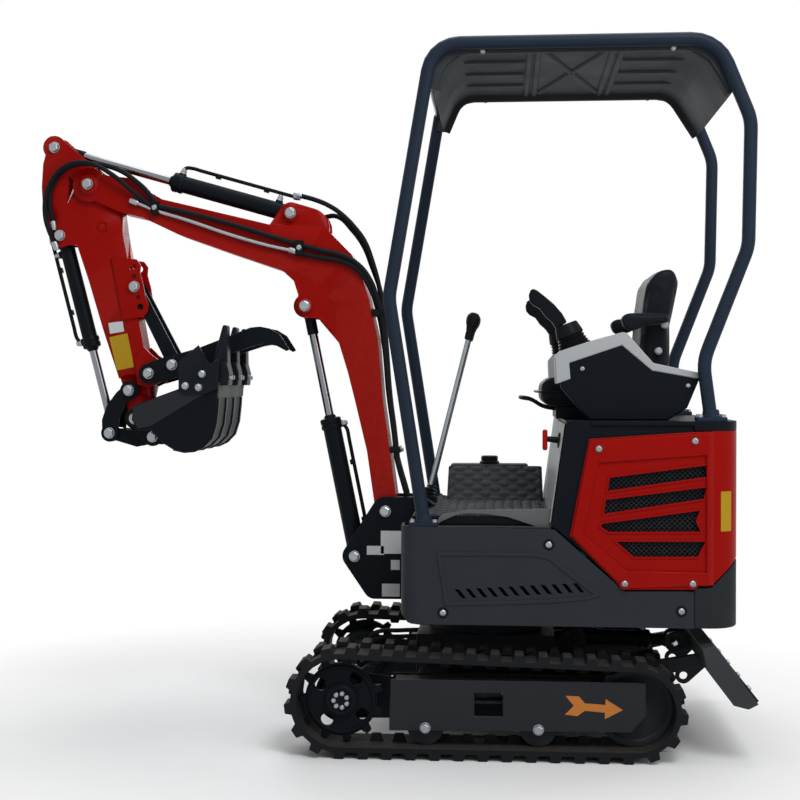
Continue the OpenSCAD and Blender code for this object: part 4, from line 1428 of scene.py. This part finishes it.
@dataclass
class House:
    """The turntable with its panels, hoods, counterweight, deck and boom bracket.

    Attributes:
        side_y: Outer face of the side panels.
        rear_x: Distance of the rear face behind the slew axis.
        mesh: Side of one cell of the mesh behind the louvres.
        wire: Thickness of its wires.
    """

    side_y: float = 440.0
    rear_x: float = 780.0
    mesh: float = 11.0
    wire: float = 2.8

    def shells(self) -> None:
        """Rounds the panels, plates and castings."""
        for node, finish, edge in (
            ("house_frame", CHASSIS, 2.0), ("boom_bracket", BLACK, 2.5), ("side_panel_left", GREY, 2.0),
            ("side_panel_right", GREY, 2.0), ("hood_left", RED, 2.0), ("hood_right", RED, 2.0),
            ("hood_rear", RED, 2.0), ("counterweight", CAST, 6.0), ("engine_block", CAST, 8.0),
            ("deck", BLACK, 2.0), ("right_tank", POLY, 10.0),
        ):
            softened(node, finish, edge, 3 if edge > 4 else 2)

    def grilles(self) -> None:
        """Weaves the mesh behind the louvres."""
        outline = [(-340, 940), (-684, 986), (-684, 600), (-440, 600), (-330, 710)]
        for side in Side:
            net = netting((-512, side.value * (self.side_y - 12), 790), (360, 400), self.mesh, Plane.SIDE)
            trimmed(net, outline, Plane.SIDE)
            modified(net, "WIREFRAME", thickness=self.wire / 1000)
            node = "grille_" + side.name.lower()
            dressed(net, node + "_mesh", GREY, Body.HOUSE, SOFT_ANGLE)
            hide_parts(node)
        # A near-black sheet behind each mesh: partly the core that stands there, partly painted shade inside
        # the hood.
        shade_sheet = flat(outline, Plane.SIDE, self.side_y - 50, self.side_y - 26, 2)
        dressed(mirrored(shade_sheet), "hood_baffles", NITRILE_AND_PAINTED_SHADE, Body.HOUSE)

    def hoods(self) -> None:
        """Presses rims round the hoods and lips round their louvres."""
        y = self.side_y
        rim = framed([(-323, 991), (-684, 1015), (-684, 549), (-429, 537), (-268, 698)],
                     [(-350, 921), (-676, 946), (-676, 588), (-434, 592), (-303, 702)], Plane.SIDE, y - 1,
                     y + 8, 4)
        dressed(mirrored(rim), "hood_rims", RED, Body.HOUSE)
        lips = []
        for outline in (
            [(-384, 876), (-676, 915), (-676, 880), (-378, 836)],
            [(-372, 808), (-676, 848), (-668, 813), (-366, 765)],
            [(-363, 735), (-656, 777), (-644, 743), (-659, 713), (-381, 710), (-356, 726)],
            [(-405, 680), (-674, 682), (-650, 636), (-457, 634)],
        ):
            lips.append(framed(grown(outline, 6), outline, Plane.SIDE, y - 2, y + 3.5, 1.2))
        dressed(mirrored(joined(lips)), "louvre_lips", RED, Body.HOUSE)
        seam = [(-682, 1018), (-699, 1018), (-699, 549), (-682, 549)]
        dressed(mirrored(flat(seam, Plane.SIDE, y - 2, y + 0.6, 0.4, 1)), "hood_seams", RED, Body.HOUSE)
        ridge = [(122, 477), (-125, 485), (-231, 491), (-323, 502), (-360, 514), (-251, 595), (-204, 634),
                 (-158, 644), (149, 644)]
        press = framed(ridge, grown(ridge, -12), Plane.SIDE, y - 1, y + 4, 3)
        dressed(mirrored(press), "panel_ridges", GREY, Body.HOUSE)

    def screws(self) -> None:
        """Sets the screws of the panels in their dark cups."""
        y = self.side_y
        low = [s for x, z in ((128, 455), (-198, 669), (-602, 468)) for s in both(x, y - 1, z)]
        high = [s for x, z in ((-350, 965), (-641, 990), (-429, 552), (-635, 554)) for s in both(x, y + 7, z)]
        for spots, name, finish in ((low, "panel", NITRILE_AND_PAINTED_SHADE), (high, "hood", RED)):
            repeated(turned([(9, 0), (18, 0), (17, 2.4), (14, 3.2), (9, 1.6)]), spots, name + "_cups",
                     finish, Body.HOUSE)
            repeated(cup_screw(11), spots, name + "_screws", ZINC, Body.HOUSE)

    def rear(self) -> None:
        """Frames the rear door and hangs its hinges, latch and blank plate."""
        x = -self.rear_x
        door = [(-300, 985), (300, 985), (300, 665), (-300, 665)]
        dressed(framed(door, grown(door, -14), Plane.FRONT, x + 1, x - 5, 2), "door_rim", RED, Body.HOUSE)
        for i in range(5):
            slot = [(-180, 930 - 34 * i), (180, 930 - 34 * i), (180, 914 - 34 * i), (-180, 914 - 34 * i)]
            dressed(flat(slot, Plane.FRONT, x + 1, x - 6, 3), f"door_louvre_{i + 1}", RED, Body.HOUSE)
        hinge = turned([(0, 0), (10, 0), (11, 2), (11, 68), (10, 70), (0, 70)], sides=16)
        repeated(hinge, [((x - 5, -300, z), (0, 0, 1)) for z in (700, 880)], "door_hinges", BLACK, Body.HOUSE)
        dressed(block((x - 14, 232, 806), (x + 1, 272, 846), 4), "door_latch", NITRILE_AND_PAINTED_SHADE, Body.HOUSE)
        rim = [(-210, 590), (210, 590), (210, 480), (-210, 480)]
        dressed(framed(rim, grown(rim, -10), Plane.FRONT, x + 2, x - 4, 2), "weight_rim", CAST, Body.HOUSE)
        arc = [(k, math.radians(20 + 26 * i / 8))
               for k, order in ((90.9, range(9)), (89.6, range(8, -1, -1))) for i in order]
        corner = [(-690 - k * math.sin(a), 350 + k * math.cos(a)) for k, a in arc]
        dressed(flat(corner, Plane.PLAN, 713, 835, 0.2, 1), "corner_blank_plate", YELLOW, Body.HOUSE)

    def front(self) -> None:
        """Fits the deck front, the isolator knob, the tank cap, the blank plates and the posts' collars."""
        # The deck front is light grey: partly its own colour, partly a painted reflection on its face.
        face = [(-204.5, 735), (-247.5, 1040), (-244, 1040.5), (-201, 735.5)]
        dressed(flat(face, Plane.SIDE, -418, 418, 1.2), "deck_front", TRIM_AND_PAINTED_REFLECTION, Body.HOUSE)
        stem = turned([(0, 0), (24, 0), (24, 5), (10, 8), (9, 40), (0, 40)], (-236, 300, 985), (1, 0, 0.1))
        dressed(stem, "isolator_stem", NITRILE_AND_PAINTED_SHADE, Body.HOUSE)
        dressed(block((-198, 290, 953), (-182, 310, 1019), 6, 3), "isolator_knob", SIGNAL, Body.HOUSE)
        cap = turned([(0, 0), (36, 0), (36, 8), (31, 11), (31, 26), (27, 30), (0, 30)], (-8, -398, 869),
                     sides=20)
        dressed(cap, "tank_cap", NITRILE_AND_PAINTED_SHADE, Body.HOUSE)
        made = []
        for (x0, z0), (x1, z1) in (
            ((261, 593), (352, 670)), ((341, 589), (399, 619)), ((288, 539), (318, 572)),
            ((288, 449), (348, 492)),
        ):
            made.append(flat([(x0, z0), (x1, z0), (x1, z1), (x0, z1)], Plane.SIDE, 84.6, 85.8, 0.2, 1))
        dressed(joined(made), "bracket_blank_plates", WHITE, Body.HOUSE)
        collar = turned([(19, 0), (33, 0), (33, 3), (27, 8), (25, 20), (23.5, 24), (19, 24)], sides=32)
        feet = [(x, s * 400, z) for x, z in ((189, 733), (-695, 1061)) for s in (1, -1)]
        repeated(collar, [(foot, (0, 0, 1)) for foot in feet], "post_collars", SLATE, Body.HOUSE)
        spots = [((x + a, y + b, z + 1), (0, 0, 1)) for x, y, z in feet for a in (-35, 35) for b in (-26, 26)]
        repeated(hex_bolt(7.5, 5), spots, "post_bolts", ZINC, Body.HOUSE)

    def build(self) -> None:
        """Builds the house."""
        self.shells()
        self.grilles()
        self.hoods()
        self.screws()
        self.rear()
        self.front()


@dataclass
class Cab:
    """The operator's place: canopy, seat, consoles, levers and mat.

    Attributes:
        deck_z: Top of the deck.
        console_y: Middle of each console.
        lever_y: Distance of each travel lever from the middle.
        cap: How far a cushion's cover may swell.
        weave: Voxel that a cushion's cover is remeshed with, in metres.
        pressure: Air pressure that fills a cushion.
        frames: Steps that its cover has to settle.
        quilt: Side of one square of the quilting.
        seam: Width of half a seam of the quilting, in metres.
        swell: How far a quilted square narrows and rises, in metres.
    """

    deck_z: float = 1050.0
    console_y: float = 310.0
    lever_y: float = 55.0
    cap: float = 9.0
    weave: float = 0.006
    pressure: float = 4.0
    frames: int = 20
    quilt: float = 44.0
    seam: float = 0.003
    swell: float = 0.006

    def canopy(self) -> None:
        """Rounds the tubes and the roof, and presses beads into the sheet."""
        for node in ("canopy_left", "canopy_right", "canopy_bars"):
            softened(node, SLATE, 1.0)
        softened("canopy_roof", POLY, 2.0)
        z, beads = 2218, []
        for x in (-140, -168, -402, -430):
            beads.append([(x, -355, z), (x, 0, z), (x, 355, z)])
        for y in (-320, 320):
            beads.append([(-182, y, z), (-285, 0, z), (-388, -y, z)])
        for y in (-180, 0, 180):
            beads += [[(70, y, z), (0, y, z), (-126, y, z)], [(-444, y, z), (-540, y, z), (-640, y, z)]]
        dressed(joined([tube(bead, 12) for bead in beads]), "roof_beads", POLY, Body.HOUSE, SOFT_ANGLE)
        skirt = [(187, 2090), (180, 2130), (170, 2172), (150, 2200), (118, 2218), (80, 2222), (-640, 2222),
                 (-690, 2213), (-728, 2185), (-752, 2140), (-775, 2080), (-745, 2070), (-715, 2120),
                 (-690, 2160), (-655, 2185), (-610, 2193), (50, 2193), (90, 2185), (118, 2160), (135, 2130),
                 (150, 2085)]
        dressed(mirrored(flat(skirt, Plane.SIDE, 372, 386, 1.5)), "roof_skirts", POLY, Body.HOUSE)
        spots = [s for x in (7, -580) for s in both(x, 385.5, 2200)]
        repeated(hex_bolt(8, 5), spots, "roof_bolts", ZINC, Body.HOUSE)

    def plumped(self, piece: Piece, name: str, node: str) -> Piece:
        """Fills a cushion, so that its cover swells a little, and sets it in place of its solid.

        Args:
            piece: The slack cover.
            name: Its plain name.
            node: The solid that it stands in for.

        Returns:
            The cushion.
        """
        hold(piece)
        piece.data.remesh_voxel_size = self.weave
        bpy.ops.object.voxel_remesh()
        rest = [vert.co.copy() for vert in piece.data.vertices]
        bpy.ops.object.modifier_add(type="CLOTH")
        cloth = piece.modifiers[-1]
        cloth.settings.use_pressure = True
        cloth.settings.uniform_pressure_force = self.pressure
        cloth.settings.effector_weights.gravity = 0.0
        cloth.point_cache.frame_start, cloth.point_cache.frame_end = 1, self.frames
        for step in range(1, self.frames + 1):
            bpy.context.scene.frame_set(step)
        bpy.ops.object.modifier_apply(modifier=cloth.name)
        bpy.context.scene.frame_set(1)
        for vert, start in zip(piece.data.vertices, rest):
            swell = vert.co - start
            if swell.length > self.cap / 1000:
                vert.co = start + swell.normalized() * self.cap / 1000
        modified(piece, "SUBSURF", levels=1, render_levels=1)
        dressed(piece, name, VINYL, Body.HOUSE, SOFT_ANGLE)
        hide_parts(node)
        return piece

    def seat(self) -> None:
        """Makes the cushion, the back and the armrests, with their piping, bolts and slide bar."""
        softened("seat_base", BLACK, 3.0)
        d = self.deck_z
        self.plumped(block((-572, -182, d + 49), (-174, 182, d + 127), 24, 4), "seat_pad", "seat_cushion")
        back = [(-505, d + 142), (-516, d + 337), (-534, d + 460), (-569, d + 489), (-600, d + 491),
                (-618, d + 486), (-618, d + 447), (-592, d + 304), (-588, d + 142)]
        self.plumped(flat(back, Plane.SIDE, -182, 182, 18, 4), "seat_back_pad", "seat_back")
        arm = [(-434, d + 321), (-440, d + 333), (-456, d + 340), (-582, d + 336), (-588, d + 312),
               (-511, d + 301), (-477, d + 287), (-456, d + 287), (-442, d + 297)]
        for side in Side:
            piece = flat(arm, Plane.SIDE, *(side.value * y for y in (195, 245)), 8, 3)
            name = "armrest_" + side.name.lower()
            self.plumped(piece, name + "_pad", name)
        piping = [(-560, 187), (-300, 188), (-206, 184), (-180, 160), (-174, 0), (-180, -160), (-206, -184),
                  (-300, -188), (-560, -187)]
        dressed(tube([(x, y, d + 88) for x, y in piping], 4), "seat_piping", NITRILE_AND_PAINTED_SHADE, Body.HOUSE, SOFT_ANGLE)
        repeated(hex_bolt(11, 7), [s for x, z in ((-578, 1354), (-558, 1270)) for s in both(x, 187, z)],
                 "seat_bolts", ZINC, Body.HOUSE)
        bar = [(-240, 90, d + 30), (-190, 90, d + 40), (-150, 90, d + 62), (-124, 76, d + 67),
               (-122, 0, d + 67), (-124, -76, d + 67), (-150, -90, d + 62), (-190, -90, d + 40),
               (-240, -90, d + 30)]
        dressed(tube(bar, 7), "seat_slide_bar", BLACK, Body.HOUSE, SOFT_ANGLE)

    def consoles(self) -> None:
        """Rounds the consoles and fits their light trim and screws."""
        box = [(-327, 1050), (-239, 1151), (-225, 1246), (-239, 1261), (-330, 1292), (-428, 1319),
               (-439, 1316), (-524, 1223), (-671, 1192), (-628, 1089), (-569, 1050)]
        trim = [(-222, 1163), (-219, 1248), (-235, 1267), (-329, 1298), (-428, 1325), (-441, 1323),
                (-523, 1229), (-672, 1197), (-658, 1180), (-519, 1205), (-426, 1284), (-263, 1229),
                (-267, 1179)]
        for side in Side:
            node, s = "console_" + side.name.lower(), side.value
            piece = flat(box, Plane.SIDE, s * 255, s * 365, 6, 3)
            dressed(piece, node + "_box", ABS, Body.HOUSE)
            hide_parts(node)
        dressed(mirrored(flat(trim, Plane.SIDE, 251, 369, 4, 3)), "console_trim", TRIM_AND_PAINTED_REFLECTION, Body.HOUSE)
        spots = [s for x, z in ((-304, 1211), (-630, 1158)) for s in both(x, 365, z)]
        repeated(cup_screw(8), spots, "console_screws", ZINC, Body.HOUSE)

    def joysticks(self) -> None:
        """Turns the bellows of each joystick and shapes its grip."""
        folds = [(0, 0), (53, 0), (53, 6), (47, 9), (50, 15), (44, 18), (47, 24), (41, 28), (45, 34),
                 (40, 38), (44, 43), (44, 48), (37, 76), (34, 80), (0, 81)]
        grip = [(-258, 1358), (-243, 1385), (-217, 1415), (-189, 1439), (-165, 1458), (-152, 1464),
                (-143, 1460), (-138, 1445), (-140, 1425), (-152, 1412), (-174, 1400), (-189, 1378),
                (-210, 1359), (-224, 1338)]
        for side in Side:
            name, y = "joystick_" + side.name.lower(), side.value * self.console_y
            boot = turned(folds, (-283, y, 1278), (27, 0, 70.5), 32)
            dressed(boot, name + "_boot", NITRILE_AND_PAINTED_SHADE, Body.HOUSE)
            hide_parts(name)
            dressed(flat(grip, Plane.SIDE, y - 21, y + 21, 11, 4), name + "_grip", ABS, Body.HOUSE,
                    SOFT_ANGLE)

    def levers(self) -> None:
        """Sets the travel levers with their knobs and gaiters, and the foot pedals."""
        way, ys = (-143, 0, 561), (self.lever_y, -self.lever_y)
        feet = [((195, y, 782), way) for y in ys]
        rods = repeated(turned([(0, 0), (8.5, 0), (8.5, 556), (0, 556)]), feet, "travel_lever_rods", ZINC,
                        Body.HOUSE)
        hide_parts("travel_levers")
        knob = turned([(0, 546), (12, 546), (14, 554), (14, 574), (17, 590), (22, 603), (23.5, 616),
                       (21, 629), (13, 638), (0, 641)])
        repeated(knob, feet, "travel_lever_knobs", NITRILE_AND_PAINTED_SHADE, Body.HOUSE)
        folds = [(0, 2), (27, 2), (27, 6), (20, 11), (23, 18), (15, 23), (18, 30), (10, 36), (8, 46), (0, 46)]
        repeated(turned(folds), feet, "travel_lever_gaiters", NITRILE_AND_PAINTED_SHADE, Body.HOUSE)
        made = [block((170, y - 25, 730), (230, y + 25, 790), 6, 3) for y in ys]
        dressed(joined(made), "travel_lever_boxes", BLACK, Body.HOUSE)
        pedal = [(168, 764), (226, 806), (230, 801), (172, 759)]
        dressed(mirrored(flat(pedal, Plane.SIDE, 95, 150, 1.5)), "foot_pedals", BLACK, Body.HOUSE)
        stalk = [(190, 722), (202, 722), (206, 786), (196, 782)]
        dressed(mirrored(flat(stalk, Plane.SIDE, 116, 130, 1.5)), "pedal_stalks", BLACK, Body.HOUSE)

    def quilted(self, spot: Point, size: Pair, outline: Sequence[Pair], plane: Plane, thick: float) -> Piece:
        """Sews a quilted sheet: a net of cushioned squares over a foam back.

        Args:
            spot: Its middle.
            size: The lengths that it has to cover.
            outline: What it is cut to.
            plane: The plane that it lies in.
            thick: Thickness of its back, away from the quilting.

        Returns:
            The sheet.
        """
        sheet = trimmed(netting(spot, size, self.quilt, plane), outline, plane)
        if sheet.data.polygons[0].normal[plane.value[2]] < 0:
            sheet.data.flip_normals()
        opened(sheet)
        bpy.ops.mesh.inset(thickness=self.seam, use_individual=True)
        bpy.ops.mesh.inset(thickness=self.swell, depth=self.swell, use_individual=True)
        bpy.ops.object.mode_set(mode="OBJECT")
        modified(sheet, "SUBSURF", levels=2, render_levels=2)
        return modified(sheet, "SOLIDIFY", thickness=thick / 1000, offset=-1)

    def mat(self) -> None:
        """Lays the quilted mat, its cover on the tank and its edge on the left."""
        mat = self.quilted((14, 25, 752), (424, 756), [(-198, -353), (226, -353), (226, 396), (-198, 396)],
                           Plane.PLAN, 4)
        dressed(mat, "quilted_mat", QUILT, Body.HOUSE, SOFT_ANGLE)
        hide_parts("floor_mat")
        # Foam back under the mat; its near black also paints the shade along the mat's edge.
        dressed(block((-199, -354, 723), (227, 398, 752), 4), "mat_foam", NITRILE_AND_PAINTED_SHADE, Body.HOUSE)
        slope = self.quilted((-29, -251, 806), (338, 232),
                             [(-198, -367), (140, -367), (140, -135), (-198, -135)], Plane.PLAN, 5)
        middle = Matrix.Translation(mm(-29, -251, 806))
        slope.data.transform(middle @ Matrix.Rotation(math.radians(-30), 4, "X") @ middle.inverted())
        dressed(slope, "tank_cover", QUILT, Body.HOUSE, SOFT_ANGLE)
        flap = [(164, 711), (134, 735), (90, 755), (56, 761), (-4, 759), (-72, 750), (-125, 733),
                (-179, 714), (-206, 712), (-209, 778), (-98, 775), (56, 772), (137, 755)]
        dressed(flat(flap, Plane.SIDE, 403, 410, 2.5), "mat_edge", FELT, Body.HOUSE)

    def build(self) -> None:
        """Builds the operator's place."""
        self.canopy()
        self.seat()
        self.consoles()
        self.joysticks()
        self.levers()
        self.mat()


ASSEMBLIES = (Studio(), Undercarriage(), House(), Cab(), DiggingGear())


def main() -> None:
    """Builds the studio and each sub-assembly in order."""
    logging.basicConfig(level=logging.INFO, format="%(name)s: %(message)s")
    for assembly in ASSEMBLIES:
        LOG.info("building %s", type(assembly).__name__)
        assembly.build()


if __name__ == "__main__":
    main()
